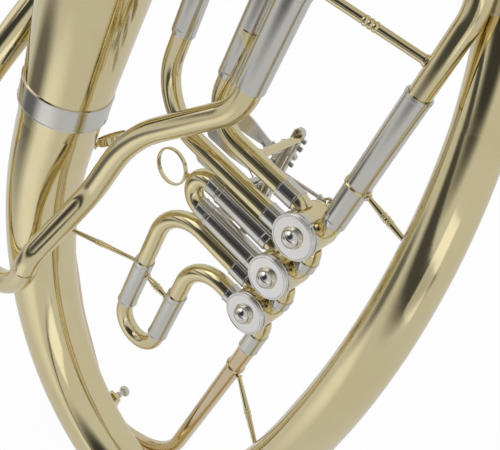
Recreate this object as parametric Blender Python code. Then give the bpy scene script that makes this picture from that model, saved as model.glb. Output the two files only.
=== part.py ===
"""Oval rotary horn with three valves, built from separate named pieces.

X runs to the right, Y away from the side that carries the valve caps, and Z up with the bell.
The origin is the second valve's axis in the plane of the cap faces. Sizes are millimetres, and
MM turns them into metres.
"""
import math

import bmesh
import bpy
from mathutils import Matrix, Vector

MM = 0.001

# Driving dimensions
TUBE_RADIUS = 6.7
TUBE_WALL = 0.6
BELL_RADIUS = 116.0
BELL_RIM_Z = 345.0
BOW_BOTTOM_Z = -293.0
ROTOR_HALF_LENGTH = 9.8
LEVER_REACH = 52.0
TOUCH_SPACING = 24.5

# Fits and sides
GAP = 0.3
TUBE_SIDES = 8
BOW_SIDES = 14
BELL_SIDES = 22
VALVE_SIDES = 18
SHAFT_SIDES = 8
BEND_STEP = 31.0
OVERLAP = 0.5


def fit(radius, sides, clearance=GAP):
    """Vertex radius of a faceted bore whose flats clear a round piece of this radius."""
    return (radius + clearance) / math.cos(math.pi / sides)


# Tubing
TUBE_BORE = TUBE_RADIUS - TUBE_WALL
SLEEVE_BORE = fit(TUBE_RADIUS, TUBE_SIDES)
SLEEVE_RADIUS = SLEEVE_BORE + 0.4
FERRULE_RADIUS = TUBE_RADIUS + 0.6
RETURN_RADIUS = TUBE_RADIUS + 1.4
SLEEVE_SHOULDER = 1.5
FLAT = math.cos(math.pi / TUBE_SIDES)
SLEEVE_FLAT = SLEEVE_RADIUS * FLAT
INLET_RING_RADIUS = SLEEVE_RADIUS + 1.5
LEAD_RING = 1.8

# Rotary valves
ROTOR_RADIUS = 1.97 * TUBE_RADIUS
CASING_RADIUS = ROTOR_RADIUS + GAP + 1.1
CAP_RADIUS = CASING_RADIUS + 0.4
PORT_OFFSET = (CASING_RADIUS + 1.24) / math.sqrt(2.0)
PORT_START = 0.53 * ROTOR_RADIUS
KNUCKLE_BEND = 9.0
VALVE_PITCH = 2 * (PORT_OFFSET + TUBE_RADIUS) + 2.2
CAP_THICKNESS = 2.2
PORT_Y = CAP_THICKNESS + 3.0 + ROTOR_HALF_LENGTH
ROTOR_FRONT = PORT_Y - ROTOR_HALF_LENGTH
ROTOR_BACK = PORT_Y + ROTOR_HALF_LENGTH
CASING_FRONT = CAP_THICKNESS + GAP
CASING_BACK = ROTOR_BACK + 3.2
BOSS_BACK = CASING_BACK + 6.0
BOSS_RADIUS = 5.0
SPINDLE_RADIUS = 2.6
SPINDLE_BORE = fit(SPINDLE_RADIUS, SHAFT_SIDES)

# Stop arm and linkage, all heights along Y
ARM_FRONT = BOSS_BACK + 1.0
ARM_BACK = ARM_FRONT + 3.2
CRANK = 7.0
CRANK_SIDE = CRANK / math.sqrt(2.0)
ROD_Y = ARM_BACK + 2.25
ROD_RADIUS = 1.3
ROD_RISE = (CRANK + CRANK_SIDE) / 2.0
EYE_RADIUS = 4.3
EYE_BORE = 2.95
PIN_RADIUS = 1.1
STOP_POST_RADIUS = 2.2
STOP_POST_CENTRE = 10.0

# Levers, on a hinge rod along Z behind the slides
HINGE_X = -63.4
LINK_ARM = 32.0
LEVER_HALF_SWING = math.degrees(math.asin(CRANK_SIDE / LINK_ARM))
HINGE_Y = ROD_Y + LINK_ARM * math.cos(math.radians(LEVER_HALF_SWING))
HINGE_RADIUS = 2.5
HINGE_BORE = fit(HINGE_RADIUS, SHAFT_SIDES)
HUB_RADIUS = 4.4
HUB_HALF = 5.7
EAR_HALF = 1.5
EAR_RISE = HUB_HALF + EAR_HALF + GAP
PIN_RISE = 3.2
PIN_FAN = 4.0
SADDLE_X = -54.9
SADDLE_HALF_WIDTH = 3.85
SADDLE_TOP = 56.0
SADDLE_BOTTOM = -47.0
SADDLE_FRONT = HINGE_Y - 11.0
SADDLE_BACK = HINGE_Y - 6.0
SADDLE_WALL = 1.2
POST_X = -53.5
POST_RADIUS = 2.7
FINGER_FRONT = 4.2
TOUCH_HALF_WIDTH = 7.4
SPRING_WIRE = 0.45
SPRING_CURLS = 4

# Slides
FIRST_LEG_X = -93.0
FIRST_INNER_LEG_X = -56.0
FIRST_SLEEVE_TOP = -92.0
FIRST_SLEEVE_END = -143.0
SECOND_SLEEVE_X = -19.0
SECOND_SLEEVE_END = -61.0
THIRD_LEG_X = -92.0
THIRD_OUTER_LEG_X = -134.5
THIRD_SLEEVE_Z = 82.0
THIRD_SLEEVE_END = 150.0
THIRD_BOW_Z = 209.0
TUNING_SLEEVE_END = 150.0
TUNING_BOW_Z = 190.0
TUNING_GRIP_Z = 166.0
OUTLET_X = -66.0
OUTLET_Y = -3.0
OUTLET_SLEEVE_Z = 98.0
OUTLET_TUBE_END = 102.0
INLET_RING_Z = 86.0
ENGAGED = 49.0

# Large bows
OVAL_X = -60.0
OVAL_TOP_Z = 250.0
OVAL_RIGHT_X = 80.3
OVAL_SHOULDER_Z = -50.0
OVAL_WAIST_Z = -72.0
STEM_X = -199.0
STEM_JOINT_Z = -12.0
BRANCH_X = -252.0
BRANCH_START_Z = -100.0
RETURN_FRONT_Y = -44.0
RETURN_BOTTOM_Z = -178.0
BOW_WALL = 0.6
FLARE_LENGTH = 27.6
LEAD_RADIUS = 6.5
LEAD_END_RADIUS = 5.6
RECEIVER_END = (-292.0, 66.0, 30.0)

COLOURS = {
    "brass": ((0.80, 0.62, 0.30, 1.0), 0.18),
    "rose_brass": ((0.82, 0.52, 0.28, 1.0), 0.2),
    "nickel": ((0.72, 0.70, 0.66, 1.0), 0.16),
    "steel": ((0.60, 0.60, 0.60, 1.0), 0.3),
}


def clear_scene():
    """Remove every object that the file opened with."""
    for item in list(bpy.data.objects):
        bpy.data.objects.remove(item, do_unlink=True)


def metal(name, kind):
    """A Principled metal for one piece."""
    colour, roughness = COLOURS[kind]
    material = bpy.data.materials.new(kind + "_" + name)
    material.use_nodes = True
    shader = material.node_tree.nodes["Principled BSDF"]
    shader.inputs["Base Color"].default_value = colour
    shader.inputs["Metallic"].default_value = 1.0
    shader.inputs["Roughness"].default_value = roughness
    return material


def add_object(name, shape, origin=(0, 0, 0)):
    """Turn a shape (points, faces) into an object with its origin at a given point."""
    points, faces = shape
    base = Vector(origin)
    mesh = bpy.data.meshes.new(name)
    mesh.from_pydata([(Vector(point) - base) * MM for point in points], [], faces)
    bm = bmesh.new()
    bm.from_mesh(mesh)
    bmesh.ops.recalc_face_normals(bm, faces=bm.faces)
    if bm.calc_volume(signed=True) < 0:
        bmesh.ops.reverse_faces(bm, faces=bm.faces)
    bm.to_mesh(mesh)
    bm.free()
    mesh.shade_smooth()
    mesh.set_sharp_from_angle(angle=math.radians(35))
    item = bpy.data.objects.new(name, mesh)
    item.location = base * MM
    bpy.context.scene.collection.objects.link(item)
    return item


def piece(name, kind, shape, origin=(0, 0, 0)):
    """One sub-part of the horn."""
    item = add_object(name, shape, origin)
    item.data.materials.append(metal(name, kind))
    return item


def boolean(item, shape, operation):
    """Join a shape to a piece, or cut it away, and keep the tool as a guide."""
    tool = add_object(item.name + "_" + operation.lower(), shape, item.location / MM)
    tool.hide_render = True
    tool.display_type = "WIRE"
    modifier = item.modifiers.new(operation.title(), "BOOLEAN")
    modifier.operation = operation
    modifier.object = tool
    modifier.solver = "EXACT"


def join(item, *shapes):
    for shape in shapes:
        boolean(item, shape, "UNION")


def cut(item, *shapes):
    for shape in shapes:
        boolean(item, shape, "DIFFERENCE")


def skin(rings, closed_run):
    """Points and faces of a body that runs through rings with equal numbers of points."""
    points = [point for ring in rings for point in ring]
    sides = len(rings[0])
    faces = []
    last = len(rings) if closed_run else len(rings) - 1
    for index in range(last):
        here = index * sides
        there = ((index + 1) % len(rings)) * sides
        for k in range(sides):
            after = (k + 1) % sides
            faces.append((here + k, here + after, there + after, there + k))
    if not closed_run:
        end = (len(rings) - 1) * sides
        faces.append(tuple(range(sides))[::-1])
        faces.append(tuple(range(end, end + sides)))
    return points, faces


def ring_at(centre, side, up, radius, sides):
    """Points of one round section."""
    ring = []
    for k in range(sides):
        angle = 2 * math.pi * (k + 0.5) / sides
        ring.append(centre + side * (radius * math.cos(angle)) + up * (radius * math.sin(angle)))
    return ring


def across(direction):
    """Two directions square to a given one and to each other."""
    direction = Vector(direction).normalized()
    helper = Vector((0, 0, 1)) if abs(direction.z) < 0.9 else Vector((0, 1, 0))
    side = helper.cross(direction).normalized()
    return side, direction.cross(side)


def turned(profile, centre, direction, sides, hollow=False):
    """Spin (distance, radius) pairs round a line; a hollow profile is a closed loop."""
    direction = Vector(direction).normalized()
    side, up = across(direction)
    rings = []
    for distance, radius in profile:
        rings.append(ring_at(Vector(centre) + direction * distance, side, up, radius, sides))
    return skin(rings, hollow)


def cylinder(start, end, radius, sides=SHAFT_SIDES):
    """A solid round bar between two points."""
    length = (Vector(end) - Vector(start)).length
    direction = Vector(end) - Vector(start)
    return turned([(0, radius), (length, radius)], start, direction, sides)


def box(low, high):
    """A block between two opposite corners."""
    outline = [(low[0], low[1]), (high[0], low[1]), (high[0], high[1]), (low[0], high[1])]
    return prism(outline, "Z", low[2], high[2])


def prism(outline, axis, low, high):
    """Extrude an outline: its pairs are (x, z) for axis Y and (x, y) for axis Z."""
    def place(a, b, t):
        return Vector((a, t, b)) if axis == "Y" else Vector((a, b, t))
    rings = [[place(a, b, t) for a, b in outline] for t in (low, high)]
    return skin(rings, False)


def arc(centre, radius, start, end, count, squash=1.0):
    """Points of an arc in a plane, angles in degrees."""
    found = []
    for k in range(count + 1):
        angle = math.radians(start + (end - start) * k / count)
        found.append((centre[0] + radius * math.cos(angle),
                      centre[1] + radius * squash * math.sin(angle)))
    return found


def bar_outline(start, end, half_width):
    """Four corners of a flat bar between two points of a plane."""
    along = (Vector(end) - Vector(start)).normalized()
    side = Vector((-along.y, along.x)) * half_width
    first = Vector(start)
    last = Vector(end)
    return [tuple(first + side), tuple(first - side), tuple(last - side), tuple(last + side)]


def bend_path(corners, radii, step=BEND_STEP):
    """Straight runs joined by arcs, with one bend radius for each inner corner."""
    path = [Vector(corners[0])]
    for index, radius in enumerate(radii, 1):
        corner = Vector(corners[index])
        back = (Vector(corners[index - 1]) - corner).normalized()
        ahead = (Vector(corners[index + 1]) - corner).normalized()
        turn = math.pi - back.angle(ahead)
        start = corner + back * (radius * math.tan(turn / 2))
        centre = corner + (back + ahead).normalized() * (radius / math.cos(turn / 2))
        axis = (-back).cross(ahead).normalized()
        count = max(1, round(math.degrees(turn) / step))
        for k in range(count + 1):
            path.append(centre + Matrix.Rotation(turn * k / count, 3, axis) @ (start - centre))
    path.append(Vector(corners[-1]))
    return path


def half_circle(centre, radius, start, end, count=6):
    """Points of a half circle from start to end, where both are directions from the centre."""
    centre = Vector(centre)
    start = Vector(start).normalized()
    end = Vector(end).normalized()
    found = []
    for k in range(count + 1):
        angle = math.pi * k / count
        found.append(centre + radius * (start * math.cos(angle) + end * math.sin(angle)))
    return found


def where(path, axis, value):
    """Distance along a path at which one coordinate first reaches a value."""
    travelled = 0.0
    for start, end in zip(path, path[1:]):
        step = (end - start).length
        span = end[axis] - start[axis]
        if abs(span) > 1e-6 and 0 <= (value - start[axis]) / span <= 1:
            return travelled + step * (value - start[axis]) / span
        travelled += step
    raise ValueError("the path never reaches %s" % value)


def band(path, axis, first, last, outer, inner):
    """A stretch of a path with its own radii, between two values of one coordinate."""
    ends = sorted((where(path, axis, first), where(path, axis, last)))
    return ends[0], ends[1], outer, inner


def tube(path, outer, inner, bands=(), sides=TUBE_SIDES, facing=None):
    """Sweep a hollow round section along a path; radii are numbers or functions of 0 to 1."""
    marks = [0.0]
    for start, end in zip(path, path[1:]):
        marks.append(marks[-1] + (end - start).length)
    total = marks[-1]
    stops = sorted(set(round(mark, 4) for mark in marks)
                   | set(round(edge, 4) for item in bands for edge in item[:2]))

    def radii(distance, nudge):
        at = distance + nudge
        for low, high, band_outer, band_inner in bands:
            if low < at < high:
                return band_outer, band_inner
        share = min(1.0, max(0.0, distance / total))
        return tuple(spec(share) if callable(spec) else spec for spec in (outer, inner))

    corners = set(round(mark, 4) for mark in marks)

    def point_at(distance):
        for index in range(len(marks) - 1):
            if distance <= marks[index + 1] + 1e-3:
                span = marks[index + 1] - marks[index]
                return path[index].lerp(path[index + 1], (distance - marks[index]) / span)
        return path[-1]

    centres = [point_at(stop) for stop in stops]
    steps = [(b - a).normalized() for a, b in zip(centres, centres[1:])]
    tangents = [steps[0]] + [(a + b).normalized() for a, b in zip(steps, steps[1:])] + [steps[-1]]
    side = Vector(facing) if facing else across(tangents[0])[0]
    outside = []
    inside = []
    for stop, centre, tangent in zip(stops, centres, tangents):
        side = (side - tangent * side.dot(tangent)).normalized()
        up = tangent.cross(side)
        for rings, which in ((outside, 0), (inside, 1)):
            sizes = [radii(stop, -0.01)[which], radii(stop, 0.01)[which]]
            if stop == stops[0]:
                sizes = sizes[1:]
            if stop == stops[-1] or abs(sizes[0] - sizes[-1]) < 1e-3:
                sizes = sizes[:1] if stop in corners else []
            for size in sizes:
                rings.append(ring_at(centre, side, up, size, sides))
    return skin(outside + inside[::-1], True)


def beaded_rod(start, end, thick, thin, bead):
    """A slender rod with cone ends and a bead in the middle, as horn braces have."""
    length = (Vector(end) - Vector(start)).length
    middle = length / 2
    profile = [(0, thick), (1.2, thick), (3.0, thin), (middle - bead - 1.0, thin * 0.85)]
    for angle in (140, 90, 40):
        radians = math.radians(angle)
        profile.append((middle + bead * math.cos(radians), bead * math.sin(radians)))
    profile += [(middle + bead + 1.0, thin * 0.85), (length - 3.0, thin),
                (length - 1.2, thick), (length, thick)]
    return turned(profile, start, Vector(end) - Vector(start), SHAFT_SIDES)


def valve_z(number):
    return (number - 2) * VALVE_PITCH


def port(number, side, level):
    """The first two corners of a tube on a casing's diagonal."""
    z = valve_z(number)
    start = (side * PORT_START, PORT_Y, z + level * PORT_START)
    return [start, (side * PORT_OFFSET, PORT_Y, z + level * PORT_OFFSET)]


def casing_cutter(number):
    """The space that a casing and its gap take from the tubes."""
    radius = fit(CASING_RADIUS, VALVE_SIDES)
    z = valve_z(number)
    return cylinder((0, PORT_Y - 12, z), (0, PORT_Y + 12, z), radius, VALVE_SIDES)


def valve_casing(number):
    z = valve_z(number)
    bore = fit(ROTOR_RADIUS, VALVE_SIDES)
    flange = CASING_RADIUS + 0.6
    profile = [(CASING_FRONT, flange), (CASING_FRONT + 3.5, flange),
               (CASING_FRONT + 3.5, CASING_RADIUS), (CASING_BACK, CASING_RADIUS),
               (CASING_BACK, BOSS_RADIUS), (BOSS_BACK, BOSS_RADIUS),
               (BOSS_BACK, SPINDLE_BORE), (ROTOR_BACK + GAP, SPINDLE_BORE),
               (ROTOR_BACK + GAP, bore), (CASING_FRONT, bore)]
    item = piece("valve_casing_%d" % number, "brass",
                 turned(profile, (0, 0, z), (0, 1, 0), VALVE_SIDES, hollow=True))
    reach = CASING_RADIUS * 1.5 / math.sqrt(2.0)
    for slope in (1, -1):
        start = (-reach, PORT_Y, z - slope * reach)
        end = (reach, PORT_Y, z + slope * reach)
        cut(item, cylinder(start, end, TUBE_BORE - 0.1))


def valve_cap(number):
    groove = CAP_RADIUS - 1.2
    nub = 5.3
    profile = [(-5.0, nub * 0.6), (-4.0, nub * 0.95), (0.0, nub), (0.0, groove),
               (0.4, groove + 0.3), (0.0, groove + 0.6), (0.0, CAP_RADIUS),
               (CAP_THICKNESS, CAP_RADIUS)]
    piece("valve_cap_%d" % number, "nickel",
          turned(profile, (0, 0, valve_z(number)), (0, 1, 0), 24))


def bearing_plate(number):
    outer = ROTOR_RADIUS
    low = CASING_FRONT + 0.1
    high = ROTOR_FRONT - GAP
    profile = [(low, outer), (high, outer), (high, SPINDLE_BORE), (low, SPINDLE_BORE)]
    piece("bearing_plate_%d" % number, "brass",
          turned(profile, (0, 0, valve_z(number)), (0, 1, 0), VALVE_SIDES, hollow=True))


def passage(number, side):
    """The curved way through a rotor that joins its two ports on one side."""
    centre = Vector((side * ROTOR_RADIUS * math.sqrt(2.0), PORT_Y, valve_z(number)))
    half_width = 0.79 * TUBE_BORE
    half_height = TUBE_BORE + 0.3
    rings = []
    for k in range(6):
        angle = math.radians(-56 + 22.4 * k)
        out = Vector((-side * math.cos(angle), 0, math.sin(angle)))
        ring = []
        for j in range(SHAFT_SIDES):
            turn = 2 * math.pi * j / SHAFT_SIDES
            ring.append(centre + out * (ROTOR_RADIUS + half_width * math.cos(turn))
                        + Vector((0, half_height * math.sin(turn), 0)))
        rings.append(ring)
    return skin(rings, False)


def rotor(number):
    z = valve_z(number)
    profile = [(CASING_FRONT + 0.6, SPINDLE_RADIUS), (ROTOR_FRONT, SPINDLE_RADIUS),
               (ROTOR_FRONT, ROTOR_RADIUS), (ROTOR_BACK, ROTOR_RADIUS),
               (ROTOR_BACK, SPINDLE_RADIUS), (ARM_BACK, SPINDLE_RADIUS)]
    item = piece("rotor_%d" % number, "brass",
                 turned(profile, (0, 0, z), (0, 1, 0), VALVE_SIDES), (0, PORT_Y, z))
    for side in (-1, 1):
        cut(item, passage(number, side))


def stop_plate(number):
    """The plate behind a casing whose two posts carry the corks that end the rotor's turn."""
    z = valve_z(number)
    front = CASING_BACK + GAP
    back = front + 2.0
    inner = fit(BOSS_RADIUS, VALVE_SIDES)
    outline = arc((0, z), CASING_RADIUS - 1.2, -176, -4, 12)
    outline += arc((0, z), inner, -4, -176, 8)
    item = piece("stop_plate_%d" % number, "brass", prism(outline, "Y", front, back))
    for angle in (-18, -162):
        x = STOP_POST_CENTRE * math.cos(math.radians(angle))
        dz = STOP_POST_CENTRE * math.sin(math.radians(angle))
        join(item, cylinder((x, back - OVERLAP, z + dz), (x, ARM_BACK - 0.2, z + dz),
                            STOP_POST_RADIUS))


def stop_arm(number):
    """Hub, crank pin and the lug that meets the corks, on the rotor's spindle."""
    z = valve_z(number)
    hub = [(ARM_FRONT, 4.6), (ARM_BACK, 4.6), (ARM_BACK, SPINDLE_BORE), (ARM_FRONT, SPINDLE_BORE)]
    item = piece("stop_arm_%d" % number, "brass",
                 turned(hub, (0, 0, z), (0, 1, 0), SHAFT_SIDES, hollow=True), (0, ARM_FRONT, z))
    diagonal = Vector((-1, 1)) / math.sqrt(2.0)
    centre = Vector((0, z))
    crank = bar_outline(centre + diagonal * 3.6, centre + diagonal * (CRANK + 2.0), 2.2)
    lug = bar_outline(centre - diagonal * 3.6, centre - diagonal * (STOP_POST_CENTRE + 1.6), 2.1)
    join(item, prism(crank, "Y", ARM_FRONT + 0.2, ARM_BACK - 0.2),
         prism(lug, "Y", ARM_FRONT + 0.4, ARM_BACK - 0.4))
    pin = [(ARM_BACK - 0.8, PIN_RADIUS), (ROD_Y + 1.65, PIN_RADIUS), (ROD_Y + 1.65, 1.9),
           (ROD_Y + 2.7, 1.9), (ROD_Y + 3.2, 1.3)]
    join(item, turned(pin, (-CRANK_SIDE, 0, z + CRANK_SIDE), (0, 1, 0), SHAFT_SIDES))


def lever_pin_x():
    return HINGE_X - LINK_ARM * math.sin(math.radians(LEVER_HALF_SWING))


def lever_z(number):
    """Height of a lever: the levers stand a finger's width apart, closer than the valves."""
    return (number - 2) * TOUCH_SPACING


def lever_pin_z(number):
    """Height of the pin on a lever's arm; the outer pins lean towards their valves."""
    return lever_z(number) + PIN_RISE + PIN_FAN * (number - 2)


def link_rod(number):
    """The rod from a lever's pin to a stop arm's pin, with an eye at each end."""
    z = lever_pin_z(number)
    far_z = valve_z(number) + ROD_RISE
    start = lever_pin_x()
    outer_eye = [(-1.4, 3.0), (1.4, 3.0), (1.4, fit(1.2, SHAFT_SIDES)),
                 (-1.4, fit(1.2, SHAFT_SIDES))]
    item = piece("link_rod_%d" % number, "nickel",
                 turned(outer_eye, (start, ROD_Y, z), (0, 0, 1), SHAFT_SIDES, hollow=True),
                 (start, ROD_Y, z))
    inner_eye = [(-1.05, EYE_RADIUS), (1.05, EYE_RADIUS), (1.05, EYE_BORE), (-1.05, EYE_BORE)]
    near = Vector((start, ROD_Y, z))
    far = Vector((-CRANK_SIDE, ROD_Y, far_z))
    along = (far - near).normalized()
    join(item, cylinder(near + along * 2.2, far - along * 3.2, ROD_RADIUS),
         turned(inner_eye, far, (0, 1, 0), SHAFT_SIDES, hollow=True))


def valve_lever(number):
    """Hub on the hinge rod, tapered finger plate, and the arm that drives the rod."""
    z = lever_z(number)
    hub = [(-HUB_HALF, HUB_RADIUS), (HUB_HALF, HUB_RADIUS), (HUB_HALF, HINGE_BORE),
           (-HUB_HALF, HINGE_BORE)]
    item = piece("valve_lever_%d" % number, "nickel",
                 turned(hub, (HINGE_X, HINGE_Y, z), (0, 0, 1), SHAFT_SIDES, hollow=True),
                 (HINGE_X, HINGE_Y, z))
    wide_x = HINGE_X - LEVER_REACH * 0.72
    outline = [(HINGE_X - 3.6, z + 2.7), (wide_x, z + TOUCH_HALF_WIDTH)]
    outline += arc((HINGE_X - LEVER_REACH, z), TOUCH_HALF_WIDTH + 1.0, 105, 255, 8)
    outline += [(wide_x, z - TOUCH_HALF_WIDTH), (HINGE_X - 3.6, z - 2.7)]
    join(item, prism(outline, "Y", HINGE_Y - FINGER_FRONT, HINGE_Y - FINGER_FRONT + 2.2))
    swing = math.radians(LEVER_HALF_SWING)
    down = Vector((-math.sin(swing), -math.cos(swing)))
    hinge = Vector((HINGE_X, HINGE_Y))
    arm = bar_outline(hinge + down * 3.6, hinge + down * (LINK_ARM + 2.6), 2.2)
    rod_z = lever_pin_z(number)
    pin_at = hinge + down * LINK_ARM
    join(item, prism(arm, "Z", rod_z - 4.8, rod_z - 1.4 - GAP),
         cylinder((pin_at.x, pin_at.y, rod_z - 2.4), (pin_at.x, pin_at.y, rod_z + 2.2), 1.2))


def lever_spring(number):
    """The coil round the hinge rod between a lever's hub and the ear below it, in one wire."""
    z = lever_z(number)
    radius = HUB_RADIUS
    high = z - HUB_HALF - 0.5 - SPRING_WIRE
    low = z - TOUCH_SPACING + EAR_RISE + EAR_HALF + 0.5 + SPRING_WIRE
    per_curl = 8
    count = SPRING_CURLS * per_curl
    rest_y = HINGE_Y - FINGER_FRONT - SPRING_WIRE - GAP
    path = [Vector((HINGE_X - 15.0, rest_y, z - 1.5)), Vector((HINGE_X - 7.5, rest_y, z - 5.0))]
    for k in range(count + 1):
        angle = math.radians(180) + 2 * math.pi * k / per_curl
        path.append(Vector((HINGE_X + radius * math.cos(angle),
                            HINGE_Y + radius * math.sin(angle),
                            high + (low - high) * k / count)))
    end = path[-1]
    path.append(end + Vector((3.0, -radius - 0.6, 0)))
    path.append(Vector((SADDLE_X - 2.0, SADDLE_BACK + SPRING_WIRE + GAP, low)))
    points = [tuple(point) for point in path]
    item = spring_curve("lever_spring_%d" % number, points, (HINGE_X, HINGE_Y, low))
    item.data.materials.append(metal("lever_spring_%d" % number, "steel"))
    print("lever_spring_%d least gap to itself %.2f mm"
          % (number, (high - low) / SPRING_CURLS - 2 * SPRING_WIRE))


def spring_curve(name, points, origin):
    """A round wire through points, as a curve with a bevel and closed ends."""
    curve = bpy.data.curves.new(name, "CURVE")
    curve.dimensions = "3D"
    curve.bevel_depth = SPRING_WIRE * MM
    curve.bevel_resolution = 1
    curve.use_fill_caps = True
    spline = curve.splines.new("POLY")
    spline.points.add(len(points) - 1)
    base = Vector(origin)
    for slot, point in zip(spline.points, points):
        slot.co = (*((Vector(point) - base) * MM), 1.0)
    item = bpy.data.objects.new(name, curve)
    item.location = base * MM
    bpy.context.scene.collection.objects.link(item)
    return item


def ear_heights():
    """Heights of the four ears that hold the hinge rod, one over each lever and one below."""
    return [lever_z(number) + EAR_RISE for number in (0, 1, 2, 3)]


def hinge_rod():
    heights = ear_heights()
    low = heights[0] - EAR_HALF - 1.5
    high = heights[-1] + EAR_HALF + 1.5
    profile = [(0, HINGE_RADIUS + 0.8), (1.2, HINGE_RADIUS + 0.8), (1.2, HINGE_RADIUS),
               (high - low, HINGE_RADIUS)]
    piece("lever_hinge_rod", "steel",
          turned(profile, (HINGE_X, HINGE_Y, low), (0, 0, 1), SHAFT_SIDES))


def round_ended(half_width, low, high):
    """Outline of an upright bar in X and Z with half round ends."""
    outline = arc((SADDLE_X, high - SADDLE_HALF_WIDTH), half_width, 0, 180, 6)
    return outline + arc((SADDLE_X, low + SADDLE_HALF_WIDTH), half_width, 180, 360, 6)


def lever_saddle():
    """A tray shaped bar with four ears round the hinge rod, on two posts from the tubes."""
    item = piece("lever_saddle", "nickel",
                 prism(round_ended(SADDLE_HALF_WIDTH, SADDLE_BOTTOM, SADDLE_TOP), "Y",
                       SADDLE_FRONT, SADDLE_BACK))
    cut(item, prism(round_ended(SADDLE_HALF_WIDTH - SADDLE_WALL, SADDLE_BOTTOM, SADDLE_TOP), "Y",
                    SADDLE_FRONT - 1, SADDLE_BACK - SADDLE_WALL))
    right = SADDLE_X + SADDLE_HALF_WIDTH + 1.2
    for z in ear_heights():
        ear = [(SADDLE_X + 2.0, SADDLE_BACK - OVERLAP), (SADDLE_X - 3.0, SADDLE_BACK - OVERLAP)]
        ear += arc((HINGE_X, HINGE_Y), 4.6, -120, -300, 7)
        ear += [(HINGE_X + 4.0, HINGE_Y + 2.2), (right, SADDLE_BACK + 3.2),
                (right, SADDLE_BACK + 0.5)]
        join(item, prism(ear, "Z", z - EAR_HALF, z + EAR_HALF))
    cut(item, cylinder((HINGE_X, HINGE_Y, SADDLE_BOTTOM), (HINGE_X, HINGE_Y, SADDLE_TOP),
                       HINGE_BORE))
    for z, tube_radius in ((valve_z(3) + PORT_OFFSET, TUBE_RADIUS), (-PORT_OFFSET, SLEEVE_RADIUS)):
        base = PORT_Y + tube_radius + 0.8
        join(item, turned([(PORT_Y, POST_RADIUS + 1.3), (base, POST_RADIUS + 1.3),
                           (base + 2.4, POST_RADIUS),
                           (SADDLE_BACK - SADDLE_WALL + OVERLAP, POST_RADIUS)],
                          (POST_X, 0, z), (0, 1, 0), SHAFT_SIDES))
        cut(item, cylinder((POST_X - 9, PORT_Y, z), (POST_X + 9, PORT_Y, z),
                           fit(tube_radius, TUBE_SIDES)))


def valve_link(lower):
    """The bridge from one valve's upper port to the next valve's lower port."""
    corners = port(lower, 1, 1) + port(lower + 1, 1, -1)[::-1]
    path = bend_path(corners, (KNUCKLE_BEND, KNUCKLE_BEND))
    middle = (valve_z(lower) + valve_z(lower + 1)) / 2
    collar = band(path, 2, middle - 3.5, middle + 3.5, FERRULE_RADIUS, TUBE_BORE)
    item = piece("valve_link_%d_%d" % (lower, lower + 1), "brass",
                 tube(path, TUBE_RADIUS, TUBE_BORE, [collar]))
    cut(item, casing_cutter(lower), casing_cutter(lower + 1))


def slide_leg(name, number, level, corner_x, bend, sleeve_z, end_z, collar_x):
    """A fixed leg of a slide: knuckle, collar, quarter bend and the sleeve that the slide enters."""
    start = port(number, -1, level)
    run_z = start[1][2]
    corners = start + [(corner_x, PORT_Y, run_z), (corner_x, PORT_Y, end_z)]
    path = bend_path(corners, (KNUCKLE_BEND, bend))
    away = 1 if end_z > run_z else -1
    shoulder = sleeve_z + away * SLEEVE_SHOULDER
    bands = [band(path, 0, collar_x[0], collar_x[1], FERRULE_RADIUS, TUBE_BORE),
             band(path, 2, sleeve_z, shoulder, SLEEVE_RADIUS, TUBE_BORE),
             band(path, 2, shoulder, end_z, SLEEVE_RADIUS, SLEEVE_BORE)]
    item = piece(name, "brass", tube(path, TUBE_RADIUS, TUBE_BORE, bands))
    cut(item, casing_cutter(number))
    return item


def first_slide_tubes():
    slide_leg("first_slide_outer_leg", 1, 1, FIRST_LEG_X, 33.0, FIRST_SLEEVE_TOP,
              FIRST_SLEEVE_END, (-17.0, -30.0))
    inner = slide_leg("first_slide_inner_leg", 1, -1, FIRST_INNER_LEG_X, 28.0,
                      FIRST_SLEEVE_TOP, FIRST_SLEEVE_END, (-17.0, -22.0))
    brace_z = FIRST_SLEEVE_TOP - 12.0
    join(inner, beaded_rod((FIRST_INNER_LEG_X - SLEEVE_FLAT + 0.2, PORT_Y, brace_z),
                           (FIRST_LEG_X + SLEEVE_FLAT + GAP, PORT_Y, brace_z), 3.0, 1.9, 3.2))


def second_slide_tubes():
    for name, level in (("second_slide_upper_leg", 1), ("second_slide_lower_leg", -1)):
        start = port(2, -1, level)
        path = bend_path(start + [(SECOND_SLEEVE_END, PORT_Y, start[1][2])], (KNUCKLE_BEND,))
        shoulder = SECOND_SLEEVE_X - SLEEVE_SHOULDER
        bands = [band(path, 0, SECOND_SLEEVE_X, shoulder, SLEEVE_RADIUS, TUBE_BORE),
                 band(path, 0, shoulder, SECOND_SLEEVE_END, SLEEVE_RADIUS, SLEEVE_BORE)]
        item = piece(name, "nickel", tube(path, TUBE_RADIUS, TUBE_BORE, bands))
        cut(item, casing_cutter(2))


def third_slide_tubes():
    slide_leg("third_slide_inner_leg", 3, 1, THIRD_LEG_X, 26.0, THIRD_SLEEVE_Z,
              THIRD_SLEEVE_END, (-17.0, -30.0))
    slide_leg("third_slide_outer_leg", 3, -1, THIRD_OUTER_LEG_X, 40.0, THIRD_SLEEVE_Z,
              THIRD_SLEEVE_END, (-17.0, -30.0))


def u_slide(path, bands=(), outer=TUBE_RADIUS, inner=TUBE_BORE):
    return tube(path, outer, inner, bands)


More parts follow.
